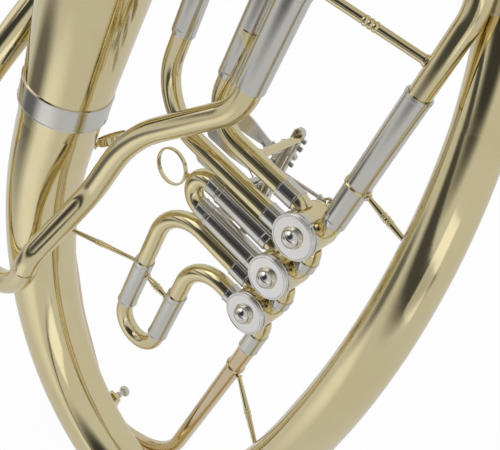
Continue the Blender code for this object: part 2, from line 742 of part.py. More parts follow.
def first_valve_slide():
    middle = (FIRST_LEG_X + FIRST_INNER_LEG_X) / 2
    radius = (FIRST_INNER_LEG_X - FIRST_LEG_X) / 2
    top = FIRST_SLEEVE_END + ENGAGED
    path = [Vector((FIRST_LEG_X, PORT_Y, top))]
    path += half_circle((middle, PORT_Y, FIRST_SLEEVE_END - 5), radius, (-1, 0, 0), (0, 0, -1))
    path.append(Vector((FIRST_INNER_LEG_X, PORT_Y, top)))
    piece("first_valve_slide", "brass", u_slide(path), (middle, PORT_Y, FIRST_SLEEVE_END))


def second_valve_slide():
    end = SECOND_SLEEVE_END - 10.0
    inside = SECOND_SLEEVE_END + 38.0
    path = [Vector((inside, PORT_Y, PORT_OFFSET))]
    path += half_circle((end, PORT_Y, 0), PORT_OFFSET, (0, 0, 1), (-1, 0, 0))
    path.append(Vector((inside, PORT_Y, -PORT_OFFSET)))
    total = sum((b - a).length for a, b in zip(path, path[1:]))
    leg = inside - end
    collar = (inside - SECOND_SLEEVE_END + GAP, leg, FERRULE_RADIUS, TUBE_BORE)
    other = (total - leg, total - collar[0], FERRULE_RADIUS, TUBE_BORE)
    item = piece("second_valve_slide", "brass", u_slide(path, (collar, other)),
                 (SECOND_SLEEVE_END, PORT_Y, 0))
    bow_end = end - PORT_OFFSET - TUBE_RADIUS * FLAT
    ring_centre = (bow_end - 15.3, PORT_Y, -4.0)
    band_profile = [(-1.4, 12.3), (-1.4, 13.5), (1.4, 13.5), (1.4, 12.3)]
    join(item, cylinder((bow_end + 0.28, PORT_Y, 0), (bow_end - 3.1, PORT_Y, 0), 2.6),
         turned(band_profile, ring_centre, (0, 1, 0), 20, hollow=True))


def third_valve_slide():
    middle = (THIRD_LEG_X + THIRD_OUTER_LEG_X) / 2
    radius = (THIRD_LEG_X - THIRD_OUTER_LEG_X) / 2
    low = THIRD_SLEEVE_END - ENGAGED - 15.0
    path = [Vector((THIRD_LEG_X, PORT_Y, low))]
    path += half_circle((middle, PORT_Y, THIRD_BOW_Z), radius, (1, 0, 0), (0, 0, 1))
    path.append(Vector((THIRD_OUTER_LEG_X, PORT_Y, low)))
    piece("third_valve_slide", "brass", u_slide(path), (middle, PORT_Y, THIRD_SLEEVE_END))


def tuning_inlet_leg():
    start = port(3, 1, 1)
    path = bend_path(start + [(PORT_OFFSET, PORT_Y, TUNING_SLEEVE_END)], (KNUCKLE_BEND,))
    first = start[1][2] + 6.0
    bands = [band(path, 2, first, INLET_RING_Z - 1.5, SLEEVE_RADIUS, TUBE_BORE),
             band(path, 2, INLET_RING_Z - 1.5, INLET_RING_Z + 1.5, INLET_RING_RADIUS, TUBE_BORE),
             band(path, 2, INLET_RING_Z + 1.5, TUNING_SLEEVE_END, SLEEVE_RADIUS, SLEEVE_BORE)]
    item = piece("tuning_inlet_leg", "nickel", tube(path, TUBE_RADIUS, TUBE_BORE, bands))
    cut(item, casing_cutter(3))


def tuning_outlet_leg():
    """The wider sleeve on the outlet side, with the small saddle that ties it to the third slide."""
    bore = fit(RETURN_RADIUS, TUBE_SIDES)
    path = [Vector((OUTLET_X, OUTLET_Y, OUTLET_SLEEVE_Z)),
            Vector((OUTLET_X, OUTLET_Y, TUNING_SLEEVE_END))]
    item = piece("tuning_outlet_leg", "nickel", tube(path, bore + 0.6, bore))
    start = Vector((OUTLET_X, OUTLET_Y))
    end = Vector((THIRD_LEG_X, PORT_Y))
    along = (end - start).normalized()
    near = start + along * (bore * FLAT + 0.1)
    far = end - along * (SLEEVE_RADIUS + GAP)
    join(item, prism(bar_outline(near, far, 1.4), "Z", 108.0, 118.0))


def main_tuning_slide():
    left = Vector((OUTLET_X, OUTLET_Y, 0))
    right = Vector((PORT_OFFSET, PORT_Y, 0))
    centre = (left + right) / 2 + Vector((0, 0, TUNING_BOW_Z))
    radius = (right - left).length / 2
    outward = (right - left).normalized()
    low = TUNING_SLEEVE_END - 45.0
    path = [right + Vector((0, 0, low))]
    path += half_circle(centre, radius, outward, (0, 0, 1), 6)
    path.append(left + Vector((0, 0, low)))

    def outer(share):
        return TUBE_RADIUS + (RETURN_RADIUS - TUBE_RADIUS) * min(1, max(0, (share - 0.3) / 0.4))

    def inner(share):
        return outer(share) - TUBE_WALL

    origin = centre - Vector((0, 0, TUNING_BOW_Z - TUNING_SLEEVE_END))
    item = piece("main_tuning_slide", "brass", tube(path, outer, inner, facing=outward), origin)
    start = right - outward * (TUBE_RADIUS * FLAT - 0.25) + Vector((0, 0, TUNING_GRIP_Z))
    end = left + outward * (RETURN_RADIUS * FLAT - 0.25) + Vector((0, 0, TUNING_GRIP_Z))
    length = (end - start).length
    grip = [(0, 3.4), (3, 3.0)]
    for middle, size in ((0.27, 4.4), (0.5, 5.2), (0.73, 4.4)):
        grip += [(length * middle - size * 1.1, 2.8), (length * middle - size * 0.6, size * 0.85),
                 (length * middle, size), (length * middle + size * 0.6, size * 0.85),
                 (length * middle + size * 1.1, 2.8)]
    grip += [(length - 3, 3.0), (length, 3.4)]
    join(item, turned(grip, start, end - start, SHAFT_SIDES))


def leadpipe_path():
    ferrule_end = -(VALVE_PITCH + PORT_OFFSET + 13.1)
    bottom = BOW_BOTTOM_Z
    corners = [(PORT_OFFSET, PORT_Y, ferrule_end), (PORT_OFFSET, PORT_Y, ferrule_end - 20),
               (1, PORT_Y + 17, bottom + 13), (-71, PORT_Y + 19, bottom - 32),
               (-152, 40, bottom + 45), (-215, 42, bottom + 143),
               (-232, 42, bottom + 253), RECEIVER_END]
    return bend_path(corners, (150, 74, 48, 90, 90, 120), 20)


def inlet_elbow():
    start = port(1, 1, -1)
    joint = leadpipe_path()[0].z
    path = bend_path(start + [(PORT_OFFSET, PORT_Y, joint - 12.0)], (KNUCKLE_BEND,))
    bore = fit(LEAD_RADIUS, TUBE_SIDES)
    bands = [band(path, 2, joint + 4.0, joint + GAP, bore + 0.4, TUBE_BORE),
             band(path, 2, joint + GAP, joint - 12.0, bore + 0.4, bore)]
    item = piece("inlet_elbow", "brass", tube(path, TUBE_RADIUS, TUBE_BORE, bands))
    cut(item, casing_cutter(1))


def leadpipe():
    path = leadpipe_path()
    whole = sum((b - a).length for a, b in zip(path, path[1:]))
    path[-1] = path[-1] + (path[-2] - path[-1]).normalized() * 38.0
    ring = band(path, 2, -98.0, -101.0, LEAD_RADIUS + LEAD_RING, LEAD_RADIUS - TUBE_WALL)

    def outer(share):
        return LEAD_RADIUS + (LEAD_END_RADIUS - LEAD_RADIUS) * share

    def inner(share):
        return outer(share) - TUBE_WALL

    piece("leadpipe", "rose_brass", tube(path, outer, inner, [ring]))
    print("leadpipe length %.0f mm" % whole)


def mouthpiece_receiver():
    path = leadpipe_path()
    end = path[-1]
    along = (path[-1] - path[-2]).normalized()
    sleeve = fit(LEAD_END_RADIUS, TUBE_SIDES)
    start = end - along * 50.0
    profile = [(0, sleeve + 0.7), (30, sleeve + 0.7), (46, 7.4), (46.5, 8.6), (50, 8.6),
               (50, 5.4), (12.3, 4.9), (12.3, sleeve), (0, sleeve)]
    piece("mouthpiece_receiver", "nickel", turned(profile, start, along, 16, hollow=True))


def ellipse(centre, wide, high, start, end, count):
    """Points of part of an upright ellipse in X and Z, angles in degrees."""
    found = []
    for k in range(count + 1):
        angle = math.radians(start + (end - start) * k / count)
        found.append((centre[0] + wide * math.cos(angle), centre[1] + high * math.sin(angle)))
    return found


def ease(low, high, share):
    share = min(1.0, max(0.0, share))
    return low + (high - low) * share * share * (3 - 2 * share)


def upper_route():
    """Centre line of the branch that climbs on the left and crosses behind the bell."""
    shoulder = 90.0
    points = [Vector((BRANCH_X, RETURN_FRONT_Y, BRANCH_START_Z)),
              Vector((BRANCH_X, RETURN_FRONT_Y, BRANCH_START_Z + 14))]
    for k in range(1, 4):
        share = k / 3
        z = BRANCH_START_Z + 14 + (shoulder - BRANCH_START_Z - 14) * share
        points.append(Vector((BRANCH_X, ease(RETURN_FRONT_Y, 44, share * 0.86), z)))
    wide = OVAL_X - BRANCH_X
    for index, (x, z) in enumerate(ellipse((OVAL_X, shoulder), wide, OVAL_TOP_Z - shoulder,
                                           180, 90, 6)):
        if index:
            points.append(Vector((x, ease(38.0, 63.0, index / 3), z)))
    return points


def right_route():
    """Centre line of the oval from its top down the right side to the lowest point."""
    points = []
    for index, (x, z) in enumerate(ellipse((OVAL_X, OVAL_SHOULDER_Z), OVAL_RIGHT_X - OVAL_X,
                                           OVAL_TOP_Z - OVAL_SHOULDER_Z, 90, 0, 7)):
        points.append(Vector((x, ease(63.0, 0.0, 0.1 + 0.9 * index / 7), z)))
    lower = ellipse((-10, OVAL_WAIST_Z), OVAL_RIGHT_X + 10, OVAL_WAIST_Z - BOW_BOTTOM_Z, 0, -90, 5)
    points += [Vector((x, 0, z)) for x, z in lower]
    left = ellipse((-10, -60), -10 - STEM_X, -60 - BOW_BOTTOM_Z, -90, -180, 5)
    points += [Vector((x, 0, z)) for x, z in left[1:]]
    points.append(Vector((STEM_X, 0, STEM_JOINT_Z - GAP / 2)))
    return points


JOINT_SEGMENT = 2


def joint_point():
    """Where the upper branch meets the main bow: the middle of one straight of the route."""
    route = right_route()
    start = route[JOINT_SEGMENT]
    end = route[JOINT_SEGMENT + 1]
    return (start + end) / 2, (end - start).normalized()


def bell_radius(z):
    depth = BELL_RIM_Z - z
    return BELL_RADIUS * math.sqrt(FLARE_LENGTH / (FLARE_LENGTH + depth))


BRANCH_START_RADIUS = 10.5
BOW_START_RADIUS = 15.2


def upper_branch():
    middle, along = joint_point()
    path = upper_route() + right_route()[1:JOINT_SEGMENT + 1] + [middle - along * (GAP / 2)]

    def outer(share):
        return BRANCH_START_RADIUS + (BOW_START_RADIUS - BRANCH_START_RADIUS) * share

    def inner(share):
        return outer(share) - BOW_WALL

    piece("upper_branch", "brass", tube(path, outer, inner, sides=12))


def main_bow():
    middle, along = joint_point()
    path = [middle + along * (GAP / 2)] + right_route()[JOINT_SEGMENT + 1:]

    def inner(share):
        return bow_outer(share) - BOW_WALL

    piece("main_bow", "brass", tube(path, bow_outer, inner, sides=BOW_SIDES))


def ferrule(name, middle, along, radius, half_length, sides):
    """A thin band over the joint of two tubes."""
    bore = fit(radius, sides)
    wall = bore + 0.6
    ends = half_length
    profile = [(-ends, wall), (ends, wall), (ends, bore), (-ends, bore)]
    piece(name, "nickel", turned(profile, middle, along, sides, hollow=True))


def ferrules():
    middle, along = joint_point()
    ferrule("bow_ferrule", middle, along, BOW_START_RADIUS + 0.1, 10.0, BOW_SIDES)
    ferrule("branch_ferrule", (BRANCH_X, RETURN_FRONT_Y, BRANCH_START_Z), (0, 0, 1),
            BRANCH_START_RADIUS + 0.1, 9.0, 12)
    ferrule("bell_ferrule", (STEM_X, 0, STEM_JOINT_Z), (0, 0, 1),
            bell_radius(STEM_JOINT_Z + 10), 9.5, BELL_SIDES)


def bell():
    rings = 8
    start = bell_radius(STEM_JOINT_Z + GAP / 2)
    edge = BELL_RADIUS - 3.0
    outside = []
    for k in range(rings + 1):
        radius = start * (edge / start) ** ((k / rings) ** 0.72)
        depth = FLARE_LENGTH * ((BELL_RADIUS / radius) ** 2 - 1)
        outside.append((BELL_RIM_Z - depth, radius))
    rim = [(BELL_RIM_Z - 3.6, BELL_RADIUS + 0.6), (BELL_RIM_Z - 1.4, BELL_RADIUS + 1.6),
           (BELL_RIM_Z, BELL_RADIUS + 0.4), (BELL_RIM_Z, BELL_RADIUS - 3.6)]
    inside = [(z + 0.5 * (radius / BELL_RADIUS), radius - BOW_WALL)
              for z, radius in outside[1:-1]]
    first = (outside[0][0], start - BOW_WALL)
    profile = outside + rim + inside[::-1] + [first]
    piece("bell", "brass", turned(profile, (STEM_X, 0, 0), (0, 0, 1), BELL_SIDES, hollow=True))


def return_bow():
    """Outlet tube: down from the tuning slide, across in front, round and up to the branch."""
    corners = [(OUTLET_X, OUTLET_Y, OUTLET_TUBE_END), (OUTLET_X, OUTLET_Y, 82.0),
               (-130, OUTLET_Y - 2, 7.4), (-142, -9, -55), (-150, RETURN_FRONT_Y, -120),
               (-150, RETURN_FRONT_Y, RETURN_BOTTOM_Z),
               (BRANCH_X, RETURN_FRONT_Y, RETURN_BOTTOM_Z),
               (BRANCH_X, RETURN_FRONT_Y, BRANCH_START_Z - GAP)]
    path = bend_path(corners, (38, 110, 60, 50, 50, 50), 18.0)

    def outer(share):
        return RETURN_RADIUS + (BRANCH_START_RADIUS - 0.2 - RETURN_RADIUS) * max(0, share - 0.1) / 0.9

    def inner(share):
        return outer(share) - TUBE_WALL

    piece("return_bow", "brass", tube(path, outer, inner))


def route_at(route, level, right):
    """Point and direction of the oval at a height, on its right or left side."""
    for start, end in zip(route, route[1:]):
        low, high = sorted((start.z, end.z))
        if low <= level <= high and (start.x > 0) == right:
            share = (level - start.z) / (end.z - start.z)
            return start.lerp(end, share), (end - start).normalized()
    raise ValueError("no point at this height")


def bow_outer(share):
    """Outer radius of the main bow along its length, from 0 to 1."""
    end = bell_radius(STEM_JOINT_Z)
    return BOW_START_RADIUS + (end - BOW_START_RADIUS) * share ** 3.4


def bow_radius_near(point):
    """Outer radius of the main bow where its route passes a point."""
    route = [joint_point()[0]] + right_route()[JOINT_SEGMENT + 1:]
    marks = [0.0]
    for start, end in zip(route, route[1:]):
        marks.append(marks[-1] + (end - start).length)
    nearest = min(range(len(route)), key=lambda index: (route[index] - point).length)
    along = (route[nearest] - route[nearest - 1]).normalized()
    return bow_outer((marks[nearest] + (point - route[nearest]).dot(along)) / marks[-1])


def bow_brace(name, leg, leg_radius, level, right):
    """A beaded rod from an upright tube to the main bow, its ends cut to both round surfaces."""
    leg = Vector(leg)
    target, tangent = route_at(right_route(), level, right)
    radius = bow_radius_near(target)
    along = (target - leg).normalized()
    item = piece(name, "nickel", beaded_rod(leg + along * leg_radius * 0.8,
                                            target - along * radius * 0.93, 2.6, 1.9, 3.1))
    reach = Vector((0, 0, 14))
    cut(item, cylinder(leg - reach, leg + reach, fit(leg_radius, 16), 16),
        cylinder(target - tangent * 20, target + tangent * 20, fit(radius, 24, GAP + 0.2), 24))


def braces():
    """The slender rods that tie the valve tubes to the main bow."""
    bow_brace("upper_bow_brace", (PORT_OFFSET, PORT_Y, INLET_RING_Z), INLET_RING_RADIUS, 77.0, True)
    bow_brace("lower_bow_brace", (PORT_OFFSET, PORT_Y + 1.2, -99.5), LEAD_RADIUS + LEAD_RING,
              -138.0, True)
    bow_brace("stem_brace", (FIRST_LEG_X, PORT_Y, -97.0), SLEEVE_RADIUS, -128.0, False)


LYRE_X = -76.8
LYRE_HALF = 6.5
LYRE_HEIGHT = 12.0
LYRE_FLOOR = 2.5
LYRE_SCREW_RISE = 7.5


def lyre_seat():
    """Point and direction of the leadpipe under the lyre box."""
    path = leadpipe_path()
    for start, end in zip(path, path[1:]):
        if start.x >= LYRE_X >= end.x:
            share = (LYRE_X - start.x) / (end.x - start.x)
            return start.lerp(end, share), (end - start).normalized()
    raise ValueError("the leadpipe misses the lyre box")


def lyre_box():
    """A square socket on the leadpipe, with the boss that its thumb screw enters."""
    seat, along = lyre_seat()
    low = seat.z + LEAD_RADIUS * 0.6
    floor = seat.z + LEAD_RADIUS + LYRE_FLOOR
    high = seat.z + LEAD_RADIUS + LYRE_HEIGHT
    item = piece("lyre_box", "brass", box((LYRE_X - LYRE_HALF, seat.y - LYRE_HALF, low),
                                          (LYRE_X + LYRE_HALF, seat.y + LYRE_HALF, high)))
    cut(item, cylinder(seat - along * 20, seat + along * 20, fit(LEAD_RADIUS, 16, 2 * GAP), 16),
        box((LYRE_X - 4, seat.y - 4, floor), (LYRE_X + 4, seat.y + 4, high + 1)))
    boss = Vector((LYRE_X, seat.y, seat.z + LEAD_RADIUS + LYRE_SCREW_RISE))
    join(item, cylinder(boss + Vector((0, LYRE_HALF - OVERLAP, 0)),
                        boss + Vector((0, LYRE_HALF + 2.5, 0)), 3.6))
    cut(item, cylinder(boss + Vector((0, 3, 0)), boss + Vector((0, LYRE_HALF + 3, 0)),
                       fit(1.6, SHAFT_SIDES)))


def lyre_screw():
    seat = lyre_seat()[0]
    centre = (LYRE_X, seat.y, seat.z + LEAD_RADIUS + LYRE_SCREW_RISE)
    start = LYRE_HALF - 4.4
    head = LYRE_HALF + 3.0
    profile = [(start, 1.6), (head, 1.6), (head, 3.2), (head + 2, 3.2), (head + 3, 2.2),
               (head + 5, 2.2), (head + 6, 5.0), (head + 9, 5.4), (head + 11, 4.2)]
    piece("lyre_screw", "nickel", turned(profile, centre, (0, 1, 0), SHAFT_SIDES), centre)


def thumb_ring():
    """A short band on a foot, on the back right of the bell stem below its ferrule."""
    centre = Vector((-179.3, 40.0, -52.1))
    along = Vector((-0.73, -0.07, 0.72)).normalized()
    profile = [(-3.2, 10.8), (-3.2, 12.2), (3.2, 12.2), (3.2, 10.8)]
    item = piece("thumb_ring", "brass", turned(profile, centre, along, 20, hollow=True))
    stem = Vector((STEM_X, 0, centre.z))
    outward = (centre - stem).normalized()
    square = (outward - along * outward.dot(along)).normalized()
    foot = centre - square * 11.4
    join(item, cylinder(foot, foot - square * 5.0, 2.6))
    cut(item, cylinder((STEM_X, 0, centre.z - 30), (STEM_X, 0, centre.z + 30),
                       bell_radius(STEM_JOINT_Z) + GAP, BELL_SIDES))


def build():
    clear_scene()
    bell()
    main_bow()
    upper_branch()
    return_bow()
    ferrules()
    leadpipe()
    inlet_elbow()
    mouthpiece_receiver()
    for number in (1, 2, 3):
        valve_casing(number)
        valve_cap(number)
        bearing_plate(number)
        rotor(number)
        stop_plate(number)
        stop_arm(number)
        link_rod(number)
        valve_lever(number)
        lever_spring(number)
    for lower in (1, 2):
        valve_link(lower)
    hinge_rod()
    lever_saddle()
    first_slide_tubes()
    second_slide_tubes()
    third_slide_tubes()
    first_valve_slide()
    second_valve_slide()
    third_valve_slide()
    tuning_inlet_leg()
    tuning_outlet_leg()
    main_tuning_slide()
    braces()
    lyre_box()
    lyre_screw()
    thumb_ring()


build()
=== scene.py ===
"""Oval rotary horn with three valves, dressed in polished metal in a plain light tent.

The file is laid out as an add-on. Each operator makes one piece or one group of like pieces over
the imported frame, and the stage operator sets the floor, the lamps and the camera. Working sizes
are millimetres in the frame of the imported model, and MM turns them into metres. The valve caps
face the front, which is -Y. A profile is a list of (distance, radius) pairs along a line.
"""
import math

import bmesh
import bpy
from mathutils import Matrix, Vector


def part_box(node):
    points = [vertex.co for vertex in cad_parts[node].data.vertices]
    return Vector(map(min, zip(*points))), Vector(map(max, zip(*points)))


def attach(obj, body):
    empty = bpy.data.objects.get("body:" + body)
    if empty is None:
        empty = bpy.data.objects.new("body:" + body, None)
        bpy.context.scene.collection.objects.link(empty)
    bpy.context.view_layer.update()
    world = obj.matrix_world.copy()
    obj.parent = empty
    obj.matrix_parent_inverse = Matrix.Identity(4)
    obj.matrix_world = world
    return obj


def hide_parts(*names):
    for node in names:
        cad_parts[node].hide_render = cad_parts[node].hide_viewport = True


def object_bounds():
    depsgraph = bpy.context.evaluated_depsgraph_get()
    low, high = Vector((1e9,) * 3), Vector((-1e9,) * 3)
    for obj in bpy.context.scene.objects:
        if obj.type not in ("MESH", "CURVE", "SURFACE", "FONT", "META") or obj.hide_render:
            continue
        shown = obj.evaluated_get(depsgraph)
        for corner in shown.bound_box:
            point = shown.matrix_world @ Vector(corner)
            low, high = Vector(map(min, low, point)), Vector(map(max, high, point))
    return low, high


bl_info = {
    "name": "Rotary valve horn",
    "version": (1, 0, 0),
    "blender": (4, 5, 0),
    "location": "3D View > Sidebar > Horn",
    "description": "Makes an oval horn with three rotary valves over its packed frame",
    "category": "Add Mesh",
}

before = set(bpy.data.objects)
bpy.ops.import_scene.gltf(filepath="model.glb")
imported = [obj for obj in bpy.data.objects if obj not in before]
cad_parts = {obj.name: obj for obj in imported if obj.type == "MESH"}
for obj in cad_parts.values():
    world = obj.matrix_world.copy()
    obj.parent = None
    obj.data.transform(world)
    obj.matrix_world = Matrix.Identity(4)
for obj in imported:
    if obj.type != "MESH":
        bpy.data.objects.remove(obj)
FRAME_LOW, FRAME_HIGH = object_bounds()
MM = 0.001

# Directions, the radius at which a turned end closes, and the edges that are shaded sharp
RIGHT = (1, 0, 0)
BACK = (0, 1, 0)
UP = (0, 0, 1)
AXIS = 0.02
SHARP = math.radians(40)
VALVES = (1, 2, 3)

# Tubing
TUBE = 6.55
WALL = 0.6
SLEEVE = 7.65
COLLAR = 7.2
COLLAR_BORE = TUBE - 0.2
COLLAR_START_X = -14.0
COLLAR_END_X = -27.5
SLIP = 0.05
RETURN = 7.95
LEAD = 6.35
LEAD_END = 5.5
LEAD_RING = 8.1
LEAD_RING_Z = -99.5
LEAD_DROP = 13.1
INLET_RING = 9.1
PORT_Y = 15.0
KNUCKLE = 9.0

# Rotary valves
ROTOR = 13.2
CASING = 14.6
CAP = 15.0
CAP_DEPTH = 2.2
PORT_OFFSET = 11.2
PORT_REACH = 7.0
VALVE_PITCH = 38.0
CASING_FRONT = 2.5
CASING_BACK = 28.0
BOSS = 5.0
BOSS_BACK = 34.0
SPINDLE = 2.6
STOP_FRONT = CASING_BACK + 0.3
ARM_FRONT = 35.0
ARM_BACK = 38.2
CRANK_SIDE = 4.95
ROD_Y = 40.45
ROD_RISE = 5.97

# Levers
HINGE_X = -63.4
HINGE_Y = 72.065
LINK_ARM = 32.0
LEVER_LEAN = math.radians(8.898)
TOUCH_SPACING = 24.5
LEVER_REACH = 52.0
LEVER_FRONT = HINGE_Y - 4.2
TOUCH_RADIUS = 8.3
TOUCH_THICK = 2.2
ROOT_HALF = 2.7
WAIST_HALF = 7.4
ARM_HALF = 2.2
ARM_DROP = 1.7
HUB = 4.3
HUB_HALF = 5.7
EAR_HALF = 1.5
EAR_RISE = 7.5
SADDLE_X = -54.9
SADDLE_TOP = 56.0
SADDLE_BOTTOM = -47.0
SADDLE_HALF = 3.85
SADDLE_FRONT = HINGE_Y - 11.0
SADDLE_BACK = HINGE_Y - 6.0
POST_X = -53.5
SPRING_WIRE = 0.45
SPRING_RADIUS = 4.25

# Slides
FIRST_OUTER_X = -93.0
FIRST_INNER_X = -56.0
FIRST_TOP = -92.0
FIRST_END = -143.0
SECOND_END = -61.0
THIRD_INNER_X = -92.0
THIRD_OUTER_X = -134.5
THIRD_SLEEVE_Z = 82.0
THIRD_END = 150.0
THIRD_BOW_Z = 209.0
TUNING_END = 150.0
TUNING_FOOT = 45.0
TUNING_BOW_Z = 190.0
TUNING_GRIP_Z = 166.0
OUTLET_X = -66.0
OUTLET_Y = -3.0
OUTLET_Z = 98.0
INLET_RING_Z = 86.0
ENGAGED = 49.0
SECOND_SHOULDER_X = -15.2
SECOND_HIDDEN = 38.0
SECOND_LEG = 48.0
PULL_RING_DROP = 15.5
TIE_LOW = 106.0
TIE_HIGH = 116.5
TIE_TURN = -48.0
GRIP = 2.6
BEAD_PITCH = 2.95

# Large bows
OVAL_X = -60.0
OVAL_TOP_Y = 63.0
OVAL_TOP_Z = 250.0
OVAL_RIGHT_X = 80.3
OVAL_SHOULDER_Z = -50.0
OVAL_WAIST_Z = -72.0
BOW_CENTRE_X = -10.0
BOW_LEFT_Z = -60.0
BOW_BOTTOM_Z = -293.0
STEM_X = -199.0
STEM_JOINT_Z = -12.0
BRANCH_X = -252.0
BRANCH_START_Z = -100.0
BRANCH_SHOULDER_Z = 90.0
RETURN_Y = -44.0
RETURN_BOTTOM_Z = -178.0
BELL_RADIUS = 116.0
BELL_RIM_Z = 345.0
FLARE_LENGTH = 27.6
BOW_START = 15.0
BRANCH_START = 10.4
JOINT_STATION = 20
RECEIVER_END = (-292.0, 66.0, 30.0)
RECEIVER_LENGTH = 50.0
RECEIVER_SOCKET = 12.0

# Fittings
LYRE_X = -76.8
LYRE_HALF = 6.5
LYRE_FLOOR = 9.0
LYRE_BOSS = 14.0
LYRE_TOP = 18.5
THUMB_CENTRE = (-179.3, 40.0, -52.1)
THUMB_AXIS = (-0.73, -0.07, 0.72)
BRACE_START = 0.8
BRACE_CLEAR = 10.0

# Stage, in metres
CAMERA_PLACE = (0.101, -0.307, 0.305)
CAMERA_FORWARD = (-0.292, 0.705, -0.646)
CAMERA_UP = (-0.673, 0.328, 0.663)
FLOOR_GAP = 0.0004
LAMP_AIM = (-0.06, 0.0, 0.0)
DARK_WALL = 0.05
# Level of the painted dark reflection of the floor towards -Y, which only the metal sees
FAR_FLOOR_PAINTED_REFLECTION = 0.07


# Maths in node trees

class Flow:
    """A value in a node tree. Sums and products of flows add the Math nodes that they need."""

    def __init__(self, bench, socket):
        self.bench = bench
        self.socket = socket

    def maths(self, operation, first, second):
        return self.bench.node("ShaderNodeMath", {"operation": operation}, {0: first, 1: second})

    def __add__(self, other):
        return self.maths("ADD", self, other)

    def __radd__(self, other):
        return self.maths("ADD", other, self)

    def __sub__(self, other):
        return self.maths("SUBTRACT", self, other)

    def __rsub__(self, other):
        return self.maths("SUBTRACT", other, self)

    def __mul__(self, other):
        return self.maths("MULTIPLY", self, other)

    def __rmul__(self, other):
        return self.maths("MULTIPLY", other, self)

    def at_most(self, other):
        return self.maths("MINIMUM", self, other)

    def clamped(self):
        """The flow held between 0 and 1."""
        return self.maths("MAXIMUM", self, 0.0).at_most(1.0)


class Bench:
    """A node tree with one method for every kind of node."""

    def __init__(self, tree):
        self.tree = tree

    def fill(self, sockets, values):
        """Link each flow to its socket, and set the other sockets to plain values."""
        for key, value in values.items():
            if isinstance(value, Flow):
                self.tree.links.new(value.socket, sockets[key])
            else:
                sockets[key].default_value = value

    def node(self, kind, settings=None, inputs=None, output=0):
        made = self.tree.nodes.new(kind)
        for key, value in (settings or {}).items():
            setattr(made, key, value)
        self.fill(made.inputs, inputs or {})
        return Flow(self, made.outputs[output])

    def noise(self, place, scale, detail):
        return self.node("ShaderNodeTexNoise", None,
                         {"Vector": place, "Scale": scale, "Detail": detail}, "Fac")

    def blend(self, share, first, second):
        return self.node("ShaderNodeMix", {"data_type": "RGBA"},
                         {0: share, 6: (*first, 1.0), 7: (*second, 1.0)}, 2)

    def vector(self, operation, first, second):
        return self.node("ShaderNodeVectorMath", {"operation": operation},
                         {0: first, 1: second}, "Value")

    def bump(self, height, strength, distance):
        return self.node("ShaderNodeBump", None, {
            "Strength": strength, "Distance": distance, "Height": height}, "Normal")

    def rays(self, kind):
        return self.node("ShaderNodeLightPath", output="Is %s Ray" % kind)


# Finishes

def blank(name):
    """A new material, the bench of its nodes, and its main shader."""
    material = bpy.data.materials.new(name)
    material.use_nodes = True
    return material, Bench(material.node_tree), material.node_tree.nodes["Principled BSDF"]


def polished(name, colour, deep, roughness, haze, lacquer, ripple):
    """Buffed metal: slow colour drift, hand haze, fine wheel marks and a little waviness."""
    material, bench, shader = blank(name)
    place = bench.node("ShaderNodeTexCoord", output="Object")
    drift = bench.noise(place, 16.0, 3.0)
    marks = bench.noise(place, 900.0, 4.0)
    hands = ((bench.noise(place, 55.0, 5.0) - 0.5) * 3.2).clamped()
    share = ((drift - 0.35) * 1.6).clamped() * 0.55 + hands * 0.25
    height = marks * 0.12 + bench.noise(place, 120.0, 1.0) * ripple
    bench.fill(shader.inputs, {
        "Metallic": 1.0, "Coat Weight": lacquer, "Coat Roughness": 0.04,
        "Base Color": bench.blend(share, colour, deep),
        "Roughness": roughness + hands * haze + (marks - 0.5) * 0.05,
        "Normal": bench.bump(height, 0.06, 0.0004)})
    return material


def stop_cork():
    """Cork of the stops: granular colour, rough and lightly pitted."""
    material, bench, shader = blank("stop_cork")
    place = bench.node("ShaderNodeTexCoord", output="Object")
    grain = bench.node("ShaderNodeTexVoronoi", None, {"Vector": place, "Scale": 900.0}, "Distance")
    colour = bench.blend((grain * 1.4).at_most(1.0), (0.28, 0.17, 0.08), (0.12, 0.07, 0.035))
    bench.fill(shader.inputs, {"Base Color": colour, "Roughness": 0.75 + (grain - 0.5) * 0.2,
                               "Normal": bench.bump(grain, 0.3, 0.0002)})
    return material


def shade(colour, *factors):
    return tuple(min(1.0, part * factor) for part, factor in zip(colour, factors))


FINISHES = {}


def finish(kind):
    """The finish for one kind of metal, made the first time that it is asked for."""
    if kind not in FINISHES:
        sets = bpy.context.scene.horn_finish
        brass, rose, nickel, steel = sets.brass, sets.rose_brass, sets.nickel, sets.steel
        smooth, haze, lacquer = sets.polish, sets.haze, sets.lacquer
        metals = {
            "brass": ("lacquered_brass", brass, shade(brass, 0.93, 0.88, 0.76),
                      smooth, haze, lacquer, 0.8),
            "rose_brass": ("lacquered_rose_brass", rose, shade(rose, 0.93, 0.86, 0.76),
                           smooth, haze, lacquer, 0.8),
            "nickel": ("nickel_silver", nickel, shade(nickel, 0.94, 0.93, 0.9),
                       smooth + 0.03, haze, 0.0, 0.9),
            "cap": ("plated_cap", shade(nickel, 1.06, 1.07, 1.11),
                    shade(nickel, 1.02, 1.03, 1.07), smooth + 0.05, 0.06, 0.0, 0.3),
            "chrome": ("mirror_nub", shade(nickel, 1.1, 1.1, 1.12), nickel, 0.03, 0.02, 0.0, 0.2),
            "steel": ("spring_steel", steel, shade(steel, 0.9, 0.9, 0.9), 0.24, haze, 0.0, 0.6),
        }
        FINISHES[kind] = polished(*metals[kind]) if kind in metals else stop_cork()
    return FINISHES[kind]


# Lines and outlines

def across(direction):
    """Two directions square to a given one and to each other."""
    direction = Vector(direction).normalized()
    helper = Vector(UP if abs(direction.z) < 0.9 else BACK)
    side = helper.cross(direction).normalized()
    return side, direction.cross(side)


def ellipse(centre, wide, high, start, end, count):
    """Points of part of an ellipse in a plane, angles in degrees."""
    turns = [math.radians(start + (end - start) * k / count) for k in range(count + 1)]
    return [(centre[0] + wide * math.cos(turn), centre[1] + high * math.sin(turn))
            for turn in turns]


